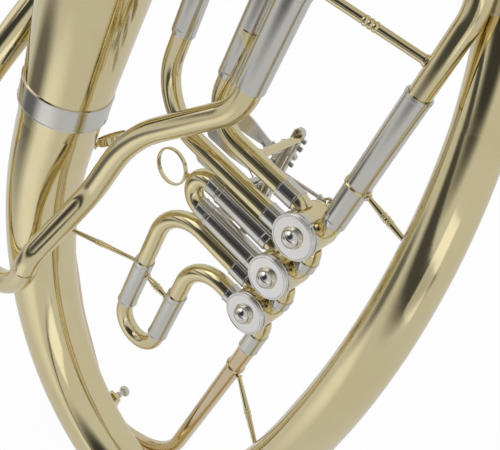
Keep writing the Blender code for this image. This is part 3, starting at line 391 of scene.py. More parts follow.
def arc(centre, radius, start, end, count):
    return ellipse(centre, radius, radius, start, end, count)


def bar_outline(start, end, half_width):
    """Outline of a flat bar between two points of a plane, with a round far end."""
    along = (end - start).normalized()
    side = Vector((-along.y, along.x))
    centre = end - along * half_width
    tip = [centre + (along * a + side * b) * half_width for a, b in arc((0, 0), 1, -90, 90, 8)]
    return [start - side * half_width] + tip + [start + side * half_width]


def bend_path(corners, radii, step=4.0):
    """Straight runs joined by arcs, with one bend radius for each inner corner."""
    corners = [Vector(corner) for corner in corners]
    path = [corners[0]]
    for before, corner, after, radius in zip(corners, corners[1:], corners[2:], radii):
        back = (before - corner).normalized()
        ahead = (after - corner).normalized()
        turn = math.pi - back.angle(ahead)
        start = corner + back * (radius * math.tan(turn / 2))
        centre = corner + (back + ahead).normalized() * (radius / math.cos(turn / 2))
        axis = (-back).cross(ahead).normalized()
        count = max(1, round(math.degrees(turn) / step))
        path += [centre + Matrix.Rotation(turn * k / count, 3, axis) @ (start - centre)
                 for k in range(count + 1)]
    return path + [corners[-1]]


def ease(low, high, share):
    share = min(1.0, max(0.0, share))
    return low + (high - low) * share * share * (3 - 2 * share)


def softened(profile, radius, closed):
    """A profile whose sharp corners are worn round."""
    found = []
    count = len(profile)
    for index, point in enumerate(profile):
        here = Vector(point)
        back = Vector(profile[index - 1]) - here
        ahead = Vector(profile[(index + 1) % count]) - here
        if (not closed and index in (0, count - 1) or min(back.length, ahead.length) < 1e-4
                or back.angle(ahead) > math.radians(150)):
            found.append(tuple(here))
            continue
        reach = min(radius, back.length * 0.4, ahead.length * 0.4)
        first = here + back.normalized() * reach
        last = here + ahead.normalized() * reach
        for share in (0.0, 0.33, 0.67, 1.0):
            left = 1 - share
            found.append(tuple(first * left * left + here * 2 * left * share
                               + last * share * share))
    return found


class Rail:
    """A line through points that gives a place and two cross directions at any distance."""

    def __init__(self, points, facing=None):
        self.points = [Vector(points[0])]
        for point in points[1:]:
            if (Vector(point) - self.points[-1]).length > 1e-3:
                self.points.append(Vector(point))
        runs = [end - start for start, end in zip(self.points, self.points[1:])]
        self.marks = [0.0]
        for run in runs:
            self.marks.append(self.marks[-1] + run.length)
        self.length = self.marks[-1]
        steps = [run.normalized() for run in runs]
        self.tangents = ([steps[0]] + [(a + b).normalized() for a, b in zip(steps, steps[1:])]
                         + [steps[-1]])
        side = Vector(facing) if facing else across(steps[0])[0]
        self.sides = []
        for tangent in self.tangents:
            side = (side - tangent * side.dot(tangent)).normalized()
            self.sides.append(side)

    def at(self, distance):
        distance = min(self.length, max(0.0, distance))
        index = 0
        while index < len(self.marks) - 2 and self.marks[index + 1] < distance:
            index += 1
        low, high = self.marks[index:index + 2]
        centre, tangent, side = (row[index].lerp(row[index + 1], (distance - low) / (high - low))
                                 for row in (self.points, self.tangents, self.sides))
        tangent.normalize()
        side = (side - tangent * side.dot(tangent)).normalized()
        return centre, side, tangent.cross(side)

    def reach(self, axis, value):
        """Distance at which one coordinate first passes a value."""
        for start, end, mark in zip(self.points, self.points[1:], self.marks):
            span = end[axis] - start[axis]
            share = (value - start[axis]) / span if abs(span) > 1e-6 else -1
            if 0 <= share <= 1:
                return mark + (end - start).length * share
        raise ValueError("the line never passes %s" % value)

    def leaves_casing(self, number):
        """Distance at which the line comes out of a casing's wall."""
        z = valve_z(number)
        inside = [mark for point, mark in zip(self.points, self.marks)
                  if math.hypot(point.x, point.z - z) < CASING + 4]
        for k in range(400):
            distance = inside[0] + (inside[-1] - inside[0]) * k / 399
            place = self.at(distance)[0]
            if math.hypot(place.x, place.z - z) >= ROTOR + 0.12:
                return distance
        raise ValueError("the line stays inside casing %d" % number)


def bent(corners, radii, step=4.0):
    """A rail round bends, with its first side to the back."""
    return Rail(bend_path(corners, radii, step), BACK)


def slide_loop(start, end, outward, reach, count=44, facing=BACK):
    """The rail of a slide: two straight legs and the half circle that joins them."""
    start, end, outward = Vector(start), Vector(end), Vector(outward)
    side = (start - end).normalized()
    centre = (start + end) / 2 + outward * reach
    radius = (start - end).length / 2
    bow = [centre + radius * (side * a + outward * b) for a, b in arc((0, 0), 1, 0, 180, count)]
    return Rail([start] + bow + [end], facing)


# Solids

def ring(centre, side, up, radius, sides):
    turns = [2 * math.pi * k / sides for k in range(sides)]
    return [centre + side * (radius * math.cos(turn)) + up * (radius * math.sin(turn))
            for turn in turns]


def skin(rings, closed):
    """Points and faces of a body through rings with equal numbers of points."""
    points = [point for each in rings for point in each]
    sides = len(rings[0])
    faces = []
    for index in range(len(rings) if closed else len(rings) - 1):
        here = index * sides
        there = (index + 1) % len(rings) * sides
        faces += [(here + k, here + (k + 1) % sides, there + (k + 1) % sides, there + k)
                  for k in range(sides)]
    if not closed:
        end = len(points) - sides
        faces += [tuple(range(sides))[::-1], tuple(range(end, end + sides))]
    return points, faces


def spun(profile, centre, direction, sides=56, closed=False, edge=0.22):
    """Spin a profile round a line, with worn corners."""
    direction = Vector(direction).normalized()
    side, up = across(direction)
    return skin([ring(Vector(centre) + direction * distance, side, up, max(radius, 0.01), sides)
                 for distance, radius in softened(profile, edge, closed)], closed)


def turned(profile, centre, direction, sides=56, edge=0.22):
    """Spin a profile round a line and close both of its ends flat."""
    ends = (profile[0][0], AXIS), (profile[-1][0], AXIS)
    return spun([ends[0]] + profile + [ends[1]], centre, direction, sides, edge=edge)


def rod(start, end, radius, edge=0.3):
    along = Vector(end) - Vector(start)
    return turned([(0, radius), (along.length, radius)], start, along, 28, edge)


def swept(rail, profile, sides=32, closed=False, edge=0.25):
    """Carry a profile along a rail; radii between its pairs run straight."""
    pairs = softened(profile, edge, closed)
    rings = []
    for (distance, radius), (after, next_radius) in zip(
            pairs, pairs[1:] + (pairs[:1] if closed else pairs[-1:])):
        rings.append(ring(*rail.at(distance), radius, sides))
        between = [mark for mark in rail.marks
                   if min(distance, after) + 0.2 < mark < max(distance, after) - 0.2]
        for mark in between if after > distance else between[::-1]:
            share = (mark - distance) / (after - distance)
            rings.append(ring(*rail.at(mark), radius + (next_radius - radius) * share, sides))
    return skin(rings, closed)


def tapering(rail, radius_at, first, last):
    """A profile whose radius follows a rule from 0 to 1 along the rail."""
    marks = [first] + [mark for mark in rail.marks if first < mark < last] + [last]
    return [(mark, radius_at(mark / rail.length)) for mark in marks]


def inset(outline, amount):
    """The outline drawn in by an amount."""
    area = sum(a[0] * b[1] - b[0] * a[1] for a, b in zip(outline, outline[1:] + outline[:1]))
    turn = 1 if area > 0 else -1
    found = []
    for index, point in enumerate(outline):
        here = Vector(point)
        back = (here - Vector(outline[index - 1])).normalized()
        ahead = (Vector(outline[(index + 1) % len(outline)]) - here).normalized()
        normal = Vector((-back.y - ahead.y, back.x + ahead.x)) * turn
        if normal.length >= 1e-6:
            normal.normalize()
            lean = max(0.5, normal.dot(Vector((-back.y, back.x)) * turn))
            here += normal * (amount / lean)
        found.append(tuple(here))
    return found


def plate(outline, axis, low, high, edge=0.3):
    """A plate with worn edges: pairs are (x, z) for axis Y and (x, y) for axis Z."""
    near = edge * 0.3
    small = inset(outline, edge)
    middle = inset(outline, near)
    levels = [(small, low), (middle, low + near), (outline, low + edge), (outline, high - edge),
              (middle, high - near), (small, high)]
    return skin([[Vector((a, level, b) if axis == "Y" else (a, b, level)) for a, b in loop]
                 for loop, level in levels], False)


def together(*shapes):
    """Several bodies as one shape."""
    points = []
    faces = []
    for more, added in shapes:
        start = len(points)
        points += more
        faces += [tuple(index + start for index in face) for face in added]
    return points, faces


def wall(first, last, bore=TUBE - WALL, radius=TUBE):
    """Profile of a plain wall between a bore and an outside."""
    return [(first, bore), (first, radius), (last, radius), (last, bore)]


def mirrored(half, low, high):
    """A profile from its first half, where both halves are alike between two distances."""
    return half + [(low + high - distance, radius) for distance, radius in reversed(half)]


def eased_band(middle, half, flat, bore, radius):
    """Profile of a ring with its outer corners planed off."""
    return mirrored([(middle - half, bore), (middle - half, radius - 0.4),
                     (middle - flat, radius)], middle, middle)


def collar(rail, first, last, bore, radius, bead=0.22):
    """A sleeve over a tube with a fine bead at each end."""
    first, last = sorted((first, last))
    half = [(first, bore), (first, radius + bead), (first + 0.9, radius + bead),
            (first + 1.1, radius)]
    return swept(rail, mirrored(half, first, last), 40, True, 0.15)


def put(name, data):
    """Link a new object to the scene."""
    item = bpy.data.objects.new(name, data)
    bpy.context.scene.collection.objects.link(item)
    return item


def piece(name, shape, kind="brass", body="horn"):
    """Put one solid on a body of the frame. It takes the place of the node with its name."""
    points, faces = shape
    mesh = bpy.data.meshes.new(name)
    mesh.from_pydata([Vector(point) * MM for point in points], [], faces)
    bm = bmesh.new()
    bm.from_mesh(mesh)
    bmesh.ops.recalc_face_normals(bm, faces=bm.faces)
    bm.to_mesh(mesh)
    bm.free()
    mesh.shade_smooth()
    mesh.set_sharp_from_angle(angle=SHARP)
    mesh.materials.append(finish(kind))
    item = put(name, mesh)
    item.modifiers.new("Even shading", "WEIGHTED_NORMAL").keep_sharp = True
    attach(item, body)
    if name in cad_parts:
        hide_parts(name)


def dress(name, kind):
    """Give a carried node one finish."""
    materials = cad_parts[name].data.materials
    materials.clear()
    materials.append(finish(kind))


# Routes and shapes shared by several pieces

def valve_z(number):
    return (number - 2) * VALVE_PITCH


def lever_z(number):
    return (number - 2) * TOUCH_SPACING


def bell_radius(z):
    return BELL_RADIUS * math.sqrt(FLARE_LENGTH / (FLARE_LENGTH + BELL_RIM_Z - z))


def port(number, side, level):
    """The first two corners of a tube on a casing's diagonal."""
    return [(side * reach, PORT_Y, valve_z(number) + level * reach)
            for reach in (PORT_REACH, PORT_OFFSET)]


def leadpipe_path():
    top = -(VALVE_PITCH + PORT_OFFSET + LEAD_DROP)
    low = BOW_BOTTOM_Z
    corners = [(PORT_OFFSET, PORT_Y, top), (PORT_OFFSET, PORT_Y, top - 20),
               (1, PORT_Y + 17, low + 13), (-71, PORT_Y + 19, low - 32), (-152, 40, low + 45),
               (-215, 42, low + 143), (-232, 42, low + 253), RECEIVER_END]
    return bend_path(corners, (150, 74, 48, 90, 90, 120), 3.5)


def upper_route():
    """Centre line of the branch that climbs on the left and crosses behind the bell."""
    start = BRANCH_START_Z + 14
    points = [Vector((BRANCH_X, RETURN_Y, BRANCH_START_Z))]
    for share in [k / 24 for k in range(25)]:
        points.append(Vector((BRANCH_X, ease(RETURN_Y, 44, share * 0.86),
                              start + (BRANCH_SHOULDER_Z - start) * share)))
    join = points[-1].y
    over = ellipse((OVAL_X, BRANCH_SHOULDER_Z), OVAL_X - BRANCH_X, OVAL_TOP_Z - BRANCH_SHOULDER_Z,
                   180, 90, 40)
    return points + [Vector((x, ease(join, OVAL_TOP_Y, k / 20), z))
                     for k, (x, z) in enumerate(over) if k]


def right_route():
    """Centre line of the oval from its top down the right side to the bell stem."""
    top = ellipse((OVAL_X, OVAL_SHOULDER_Z), OVAL_RIGHT_X - OVAL_X, OVAL_TOP_Z - OVAL_SHOULDER_Z,
                  90, 0, 56)
    low = ellipse((BOW_CENTRE_X, OVAL_WAIST_Z), OVAL_RIGHT_X - BOW_CENTRE_X,
                  OVAL_WAIST_Z - BOW_BOTTOM_Z, 0, -90, 40)
    left = ellipse((BOW_CENTRE_X, BOW_LEFT_Z), BOW_CENTRE_X - STEM_X, BOW_LEFT_Z - BOW_BOTTOM_Z,
                   -90, -180, 40)
    return [Vector((x, ease(OVAL_TOP_Y, 0.0, 0.1 + 0.9 * k / 56), z))
            for k, (x, z) in enumerate(top)] + [
                Vector((x, 0, z)) for x, z in low + left[1:] + [(STEM_X, STEM_JOINT_Z)]]


def beaded(start, end, thick, thin, bead):
    """A turned brace rod: small feet, two long cones and a ringed bead where they meet."""
    along = Vector(end) - Vector(start)
    middle = along.length / 2
    half = [(0.0, thick), (0.8, thick), (1.8, thin), (middle - 3.4, bead * 0.84),
            (middle - 3.1, bead * 0.96), (middle - 2.4, bead * 0.96), (middle - 2.1, bead * 0.84),
            (middle - 1.2, bead * 0.86), (middle - 0.7, bead)]
    whole = half + [(middle, bead)] + mirrored(half, 0, along.length)[len(half):]
    return turned(whole, start, along, 36, 0.15)


def slotted_head(centre, direction, radius, height, kerf=0.5):
    """A cheese head with a screwdriver slot, standing on a point."""
    centre = Vector(centre)
    direction = Vector(direction)
    side, up = across(direction)
    half = kerf / 2
    rim = arc((0, 0), radius, 0, 360, 24)[:-1]
    body = turned([(0, radius), (height * 0.55, radius)], centre, direction, 24, 0.15)
    for sign in (1, -1):
        outline = [(a, b) for a, b in rim[::sign] if sign * b > half]
        rings = [[centre + direction * (height * level) + side * (a * scale)
                  + up * (sign * half + (b - sign * half) * scale) for a, b in outline]
                 for level, scale in ((0.4, 1.0), (0.85, 1.0), (1.0, 0.9))]
        body = together(body, skin(rings, False))
    return body


def ferrule(name, centre, along, half, bore, radius, bead=0.22):
    """A plated band over the joint of two tubes."""
    centre, along = Vector(centre), Vector(along) * half
    rail = Rail([centre - along, centre + along])
    piece(name, collar(rail, 0, 2 * half, bore, radius, bead), "nickel")


def knuckle(rail, number, shoulder):
    """The bend of a tube from a casing's wall until it is hidden in a sleeve."""
    return swept(rail, wall(rail.leaves_casing(number), shoulder + 2))


def sleeve_shape(rail, first):
    """A drawn outer sleeve with a turned lip at its open end and a fine line at its shoulder."""
    last = rail.length
    profile = [(first, TUBE - 0.3), (first, SLEEVE - 0.3), (first + 0.6, SLEEVE),
               (first + 4.2, SLEEVE), (first + 4.4, SLEEVE - 0.14), (first + 4.7, SLEEVE - 0.14),
               (first + 4.9, SLEEVE), (last - 2.4, SLEEVE), (last - 2.2, SLEEVE + 0.3),
               (last - 0.2, SLEEVE + 0.3), (last, SLEEVE), (last, TUBE + 0.12),
               (last - 12, TUBE + 0.12), (last - 12, TUBE - 0.3)]
    return swept(rail, profile, 36, True, 0.12)


def slide_leg(name, number, level, corner_x, bend, sleeve_z, end_z, collar_end=COLLAR_END_X):
    """A fixed leg: knuckle from the casing, plated collar, bend, and the sleeve of the slide."""
    start = port(number, -1, level)
    rail = bent(start + [(corner_x, PORT_Y, start[1][2]), (corner_x, PORT_Y, end_z)],
                (KNUCKLE, bend))
    shoulder = rail.reach(2, sleeve_z)
    piece(name, knuckle(rail, number, shoulder))
    band = collar(rail, rail.reach(0, COLLAR_START_X), rail.reach(0, collar_end), COLLAR_BORE,
                  COLLAR)
    piece(name.replace("leg", "collar"), band, "nickel")
    piece(name.replace("leg", "sleeve"), sleeve_shape(rail, shoulder), "nickel")


def open_ended(rail, outer, bore, last_bore, sides=36):
    """A slide's tube: thin walled ends that slip into the sleeves."""
    end = rail.length
    profile = ([(6.2, 0.05), (6, bore), (0, bore)] + outer
               + [(end, last_bore), (end - 6, last_bore), (end - 6.2, 0.05)])
    return swept(rail, profile, sides, edge=0.12)


def valve_slide(rail):
    radius = TUBE - SLIP
    return open_ended(rail, [(0, radius), (rail.length, radius)], radius - WALL, radius - WALL)


# Pieces

class HORN_OT_bell(bpy.types.Operator):
    """Spin the bell with its rolled rim, and the band where the stem meets the bow"""
    bl_idname = "horn.bell"
    bl_label = "Bell and its ferrule"

    def execute(self, context):
        low = STEM_JOINT_Z + 0.15
        throat = bell_radius(low)
        outside = []
        for k in range(73):
            radius = throat * ((BELL_RADIUS - 3.0) / throat) ** (k / 72)
            depth = FLARE_LENGTH * ((BELL_RADIUS / radius) ** 2 - 1)
            outside.append((BELL_RIM_Z - depth, radius))
        wire = arc((BELL_RIM_Z - 2.0, BELL_RADIUS - 0.6), 1.9, 190, -26, 12)
        inside = [(z + 0.5 * radius / BELL_RADIUS, radius - WALL)
                  for z, radius in outside[-2:0:-1]]
        profile = (outside + wire + [(BELL_RIM_Z - 0.4, BELL_RADIUS - 3.4)] + inside
                   + [(low, throat - WALL)])
        piece("bell", spun(profile, (STEM_X, 0, 0), UP, 128, True, 0.1))
        bore = bell_radius(STEM_JOINT_Z + 10) + 0.1
        ferrule("bell_ferrule", (STEM_X, 0, STEM_JOINT_Z), UP, 9.5, bore - 0.6, bore + 0.7)
        return {"FINISHED"}


class HORN_OT_bows(bpy.types.Operator):
    """Sweep the main bow and the upper branch, and band their joints"""
    bl_idname = "horn.bows"
    bl_label = "Main bow and upper branch"

    def execute(self, context):
        route = right_route()
        gap = 0.2
        lower = Rail(route[JOINT_STATION:], BACK)
        end = bell_radius(STEM_JOINT_Z)
        last = lower.length - 0.3
        profile = tapering(lower, lambda share: BOW_START + (end - BOW_START) * share ** 3.9,
                           gap, last)
        profile += [(last, end - 0.8), (last - 12, end - 1.2), (gap + 12, BOW_START - 0.9),
                    (gap, BOW_START - 0.7)]
        piece("main_bow", swept(lower, profile, 56, True))
        upper = Rail(upper_route() + route[1:JOINT_STATION + 1], BACK)
        last = upper.length - gap
        profile = [(gap, BRANCH_START - 0.7)] + tapering(
            upper, lambda share: BRANCH_START + (BOW_START - BRANCH_START) * share, gap, last)
        piece("upper_branch", swept(upper, profile + [(last, BOW_START - 0.7)], 48))
        along = (route[JOINT_STATION + 1] - route[JOINT_STATION - 1]).normalized()
        ferrule("bow_ferrule", route[JOINT_STATION], along, 10, BOW_START - 0.4, BOW_START + 0.75,
                0.2)
        ferrule("branch_ferrule", (BRANCH_X, RETURN_Y, BRANCH_START_Z), UP, 9,
                BRANCH_START - 0.3, BRANCH_START + 0.8, 0.3)
        return {"FINISHED"}


class HORN_OT_return_bow(bpy.types.Operator):
    """Sweep the outlet tube from the tuning slide, across the front and up to the branch"""
    bl_idname = "horn.return_bow"
    bl_label = "Return bow"

    def execute(self, context):
        corners = [(OUTLET_X, OUTLET_Y, OUTLET_Z + 4), (OUTLET_X, OUTLET_Y, 82.0),
                   (-130, OUTLET_Y - 2, 7.4), (-142, -9, -55), (-150, RETURN_Y, -120),
                   (-150, RETURN_Y, RETURN_BOTTOM_Z), (BRANCH_X, RETURN_Y, RETURN_BOTTOM_Z),
                   (BRANCH_X, RETURN_Y, BRANCH_START_Z - 0.3)]
        rail = bent(corners, (38, 110, 60, 50, 50, 50), 3.0)
        growth = BRANCH_START - 0.25 - RETURN
        first, last = 0.1, rail.length - 0.1
        outer = tapering(rail, lambda share: RETURN + growth * max(0.0, share - 0.1) / 0.9,
                         first, last)
        profile = [(first, RETURN - 0.7)] + outer + [(last, BRANCH_START - 0.9)]
        piece("return_bow", swept(rail, profile, 48))
        return {"FINISHED"}


class HORN_OT_leadpipe(bpy.types.Operator):
    """Sweep the mouthpipe, its elbow at the first valve and the mouthpiece receiver"""
    bl_idname = "horn.leadpipe"
    bl_label = "Leadpipe, inlet elbow and receiver"

    def execute(self, context):
        path = leadpipe_path()
        joint, end = path[0].z, path[-1]
        along = (end - path[-2]).normalized()
        rail = Rail(path[:-1] + [end - along * (RECEIVER_LENGTH - RECEIVER_SOCKET)])
        outer = tapering(rail, lambda share: LEAD + (LEAD_END - LEAD) * share, 0.0, rail.length)
        profile = [(0.0, LEAD - WALL)] + outer + [(rail.length, LEAD_END - WALL)]
        band = eased_band(rail.reach(2, LEAD_RING_Z), 1.0, 0.4, LEAD - 0.4, LEAD_RING - 0.8)
        piece("leadpipe", together(swept(rail, profile, 36), swept(rail, band, 40, True, 0.2)),
              "rose_brass")
        elbow = Rail(bend_path(port(1, 1, -1) + [(PORT_OFFSET, PORT_Y, joint - 12.0)],
                               (KNUCKLE,), 5.0))
        sleeve = elbow.reach(2, joint + 5.0)
        piece("inlet_elbow", swept(elbow, wall(elbow.leaves_casing(1), sleeve)))
        piece("inlet_sleeve", collar(elbow, sleeve - 1.0, elbow.length, LEAD - 0.2, LEAD + 0.9),
              "nickel")
        profile = [(0, LEAD_END - 0.1), (0, 6.9), (1.6, 7.2), (30, 7.0), (44, 7.3), (45.4, 8.3),
                   (47.0, 8.5), (49.4, 8.5), (RECEIVER_LENGTH, 8.0),
                   (RECEIVER_LENGTH, 5.6), (20, 4.7), (12.6, 4.7),
                   (12.6, LEAD_END - 0.1)]
        piece("mouthpiece_receiver", spun(profile, end - along * RECEIVER_LENGTH, along, 48, True,
                                         0.2),
              "nickel")
        return {"FINISHED"}


class HORN_OT_valve_casings(bpy.types.Operator):
    """Turn the three casings with their rims, plated caps and grooved nubs"""
    bl_idname = "horn.valve_casings"
    bl_label = "Valve casings and caps"

    def execute(self, context):
        bore = ROTOR + 0.4
        front, back = CASING_FRONT, CASING_BACK
        casing = [(front + 3.6, bore), (front + 3.6, CASING), (back - 2.6, CASING),
                  (back - 2.4, CASING - 0.35), (back - 2.0, CASING - 0.35), (back - 1.8, CASING),
                  (back, CASING - 0.2), (back, BOSS + 1.6), (back + 1.4, BOSS),
                  (BOSS_BACK, BOSS - 0.3), (BOSS_BACK, SPINDLE + 0.35), (25.1, SPINDLE + 0.35),
                  (25.1, bore)]
        rim = [(front, bore), (front, CASING + 0.1), (front + 0.7, CASING + 0.55),
               (front + 3.0, CASING + 0.55), (front + 3.55, CASING + 0.1), (front + 3.55, bore)]
        face = [(0.75, AXIS), (0.0, 5.6), (0.0, CAP - 1.75), (0.3, CAP - 1.6),
                (0.3, CAP - 1.25), (0.0, CAP - 1.1), (0.05, CAP - 0.35), (0.4, CAP),
                (0.85, CAP), (1.0, CAP - 0.2), (1.2, CAP - 0.2), (1.35, CAP),
                (CAP_DEPTH, CAP), (CAP_DEPTH, AXIS)]
        bead = [(0.0, 6.2), (-0.4, 6.9), (0.0, 7.3), (0.3, 6.9)]
        nub = [(0.3, AXIS), (0.3, 6.7), (-0.5, 6.68), (-0.7, 6.4), (-0.9, 6.62), (-1.6, 6.5),
               (-1.8, 6.15), (-2.0, 6.33)]
        nub += ellipse((0, 0), 6.2, 6.7, 114, 174, 10) + [(-6.2, AXIS)]
        rows = (("valve_casing", casing, 72, True, 0.22, "brass"),
                ("valve_rim", rim, 72, True, 0.22, "nickel"),
                ("valve_cap", face, 96, False, 0.12, "cap"),
                ("cap_bead", bead, 72, True, 0.15, "brass"),
                ("cap_nub", nub, 72, False, 0.1, "chrome"))
        for number in VALVES:
            for name, profile, sides, closed, edge, kind in rows:
                piece(f"{name}_{number}", spun(profile, (0, 0, valve_z(number)), BACK, sides,
                                               closed, edge), kind)
            dress(f"bearing_plate_{number}", "brass")
        return {"FINISHED"}


class HORN_OT_rotors(bpy.types.Operator):
    """Finish the rotors, and make the stop plates, corks and stop arms behind the casings"""
    bl_idname = "horn.rotors"
    bl_label = "Rotors and stop works"

    def execute(self, context):
        front = STOP_FRONT
        diagonal = Vector((-1, 1)) / math.sqrt(2.0)
        for number in VALVES:
            z = valve_z(number)
            dress(f"rotor_{number}", "brass")
            outline = arc((0, z), CASING - 1.2, -176, -4, 40) + arc((0, z), 5.5, -4, -176, 24)
            shapes = [plate(outline, "Y", front, front + 2.0)]
            corks = []
            for x, level in arc((0, z), 10.0, -18, -162, 1):
                shapes.append(rod((x, front + 1.0, level), (x, front + 4.2, level), 2.35))
                corks.append(rod((x, front + 4.1, level), (x, ARM_BACK - 0.2, level), 2.15, 0.5))
            for x, level in arc((0, z), 10.2, -60, -120, 1):
                shapes.append(slotted_head((x, front + 1.9, level), BACK, 1.7, 1.5))
            piece(f"stop_plate_{number}", together(*shapes))
            piece(f"stop_corks_{number}", together(*corks), "cork")
            centre = Vector((0, z))
            crank = bar_outline(centre + diagonal, centre + diagonal * 9.0, 2.2)
            lug = bar_outline(centre - diagonal, centre - diagonal * 11.6, 2.1)
            hub = spun(wall(ARM_FRONT, ARM_BACK, SPINDLE + 0.3, 4.4), (0, 0, z), BACK, 48, True)
            pin = turned([(ARM_BACK - 0.8, 1.1), (ROD_Y + 1.65, 1.1), (ROD_Y + 1.65, 1.9),
                          (ROD_Y + 2.6, 1.9), (ROD_Y + 3.2, 1.2)],
                         (-CRANK_SIDE, 0, z + CRANK_SIDE), BACK, 32)
            arm = together(hub, plate(crank, "Y", ARM_FRONT + 0.2, ARM_BACK - 0.2),
                           plate(lug, "Y", ARM_FRONT + 0.4, ARM_BACK - 0.4), pin)
            piece(f"stop_arm_{number}", arm, "brass", f"valve_{number}")
            head = slotted_head((0, ARM_BACK - 0.1, z), BACK, 3.4, 0.95, 0.7)
            piece(f"arm_screw_{number}", head, "steel", f"valve_{number}")
        return {"FINISHED"}


class HORN_OT_valve_links(bpy.types.Operator):
    """Bend the two bridges between the valves, each with its plated middle band"""
    bl_idname = "horn.valve_links"
    bl_label = "Valve links"

    def execute(self, context):
        for lower in VALVES[:2]:
            rail = bent(port(lower, 1, 1) + port(lower + 1, 1, -1)[::-1], (KNUCKLE, KNUCKLE), 5.0)
            first = rail.leaves_casing(lower)
            link = swept(rail, wall(first, rail.length - first, TUBE - 0.5))
            piece(f"valve_link_{lower}_{lower + 1}", link)
            middle = rail.length / 2
            band = collar(rail, middle - 3.5, middle + 3.5, COLLAR_BORE, COLLAR, 0.15)
            piece(f"link_band_{lower}_{lower + 1}", band, "nickel")
        return {"FINISHED"}


class HORN_OT_slide_legs(bpy.types.Operator):
    """Bend the fixed legs of the three valve slides, with their collars and plated sleeves"""
    bl_idname = "horn.slide_legs"
    bl_label = "Slide legs and sleeves"

    def execute(self, context):
        slide_leg("first_slide_outer_leg", 1, 1, FIRST_OUTER_X, 33.0, FIRST_TOP, FIRST_END)
        slide_leg("first_slide_inner_leg", 1, -1, FIRST_INNER_X, 28.0, FIRST_TOP, FIRST_END, -22.0)
        z = FIRST_TOP - 12.0
        start, end = FIRST_INNER_X - SLEEVE + 0.4, FIRST_OUTER_X + SLEEVE - 0.1
        piece("first_slide_brace", beaded((start, PORT_Y, z), (end, PORT_Y, z), 2.9, 1.8, 3.0))
        for name, level in (("second_slide_upper_leg", 1), ("second_slide_lower_leg", -1)):
            start = port(2, -1, level)
            rail = bent(start + [(SECOND_END, PORT_Y, start[1][2])], (KNUCKLE,))
            shoulder = rail.reach(0, SECOND_SHOULDER_X)
            piece(name.replace("leg", "knuckle"), knuckle(rail, 2, shoulder))
            piece(name, sleeve_shape(rail, shoulder), "nickel")
        for name, level, x, bend in (("third_slide_inner_leg", 1, THIRD_INNER_X, 26.0),
                                     ("third_slide_outer_leg", -1, THIRD_OUTER_X, 40.0)):
            slide_leg(name, 3, level, x, bend, THIRD_SLEEVE_Z, THIRD_END)
        return {"FINISHED"}


class HORN_OT_valve_slides(bpy.types.Operator):
    """Bend the three valve slides; the second has end bands and a pull ring"""
    bl_idname = "horn.valve_slides"
    bl_label = "Valve slides"

    def execute(self, context):
        top = FIRST_END + ENGAGED
        rail = slide_loop((FIRST_OUTER_X, PORT_Y, top), (FIRST_INNER_X, PORT_Y, top), (0, 0, -1),
                          ENGAGED + 5.0)
        piece("first_valve_slide", valve_slide(rail), "brass", "first_slide")
        leg = SECOND_LEG
        inside = SECOND_END + SECOND_HIDDEN
        rail = slide_loop((inside, PORT_Y, PORT_OFFSET), (inside, PORT_Y, -PORT_OFFSET),
                          (-1, 0, 0), leg)
        bow_end = inside - leg - PORT_OFFSET - TUBE + 0.2
        foot = turned([(0, 2.9), (0.8, 2.9), (2.0, 2.1), (3.1, 2.0)],
                      (bow_end + 0.5, PORT_Y, 0), (-1, 0, 0), 32)
        band = spun(eased_band(0, 1.5, 1.1, 12.2, 13.5), (bow_end - PULL_RING_DROP, PORT_Y, -4.0),
                    BACK, 88, True, 0.15)
        piece("second_valve_slide", together(valve_slide(rail), foot, band), "brass",
              "second_slide")
        near = SECOND_HIDDEN + 0.4
        bands = [collar(rail, first, last, TUBE - 0.3, COLLAR, 0.2)
                 for first, last in ((near, leg), (rail.length - leg, rail.length - near))]
        piece("second_slide_bands", together(*bands), "nickel", "second_slide")
        low = THIRD_END - ENGAGED - 15.0
        rail = slide_loop((THIRD_INNER_X, PORT_Y, low), (THIRD_OUTER_X, PORT_Y, low), UP,
                          THIRD_BOW_Z - low)
        piece("third_valve_slide", valve_slide(rail), "brass", "third_slide")
        return {"FINISHED"}


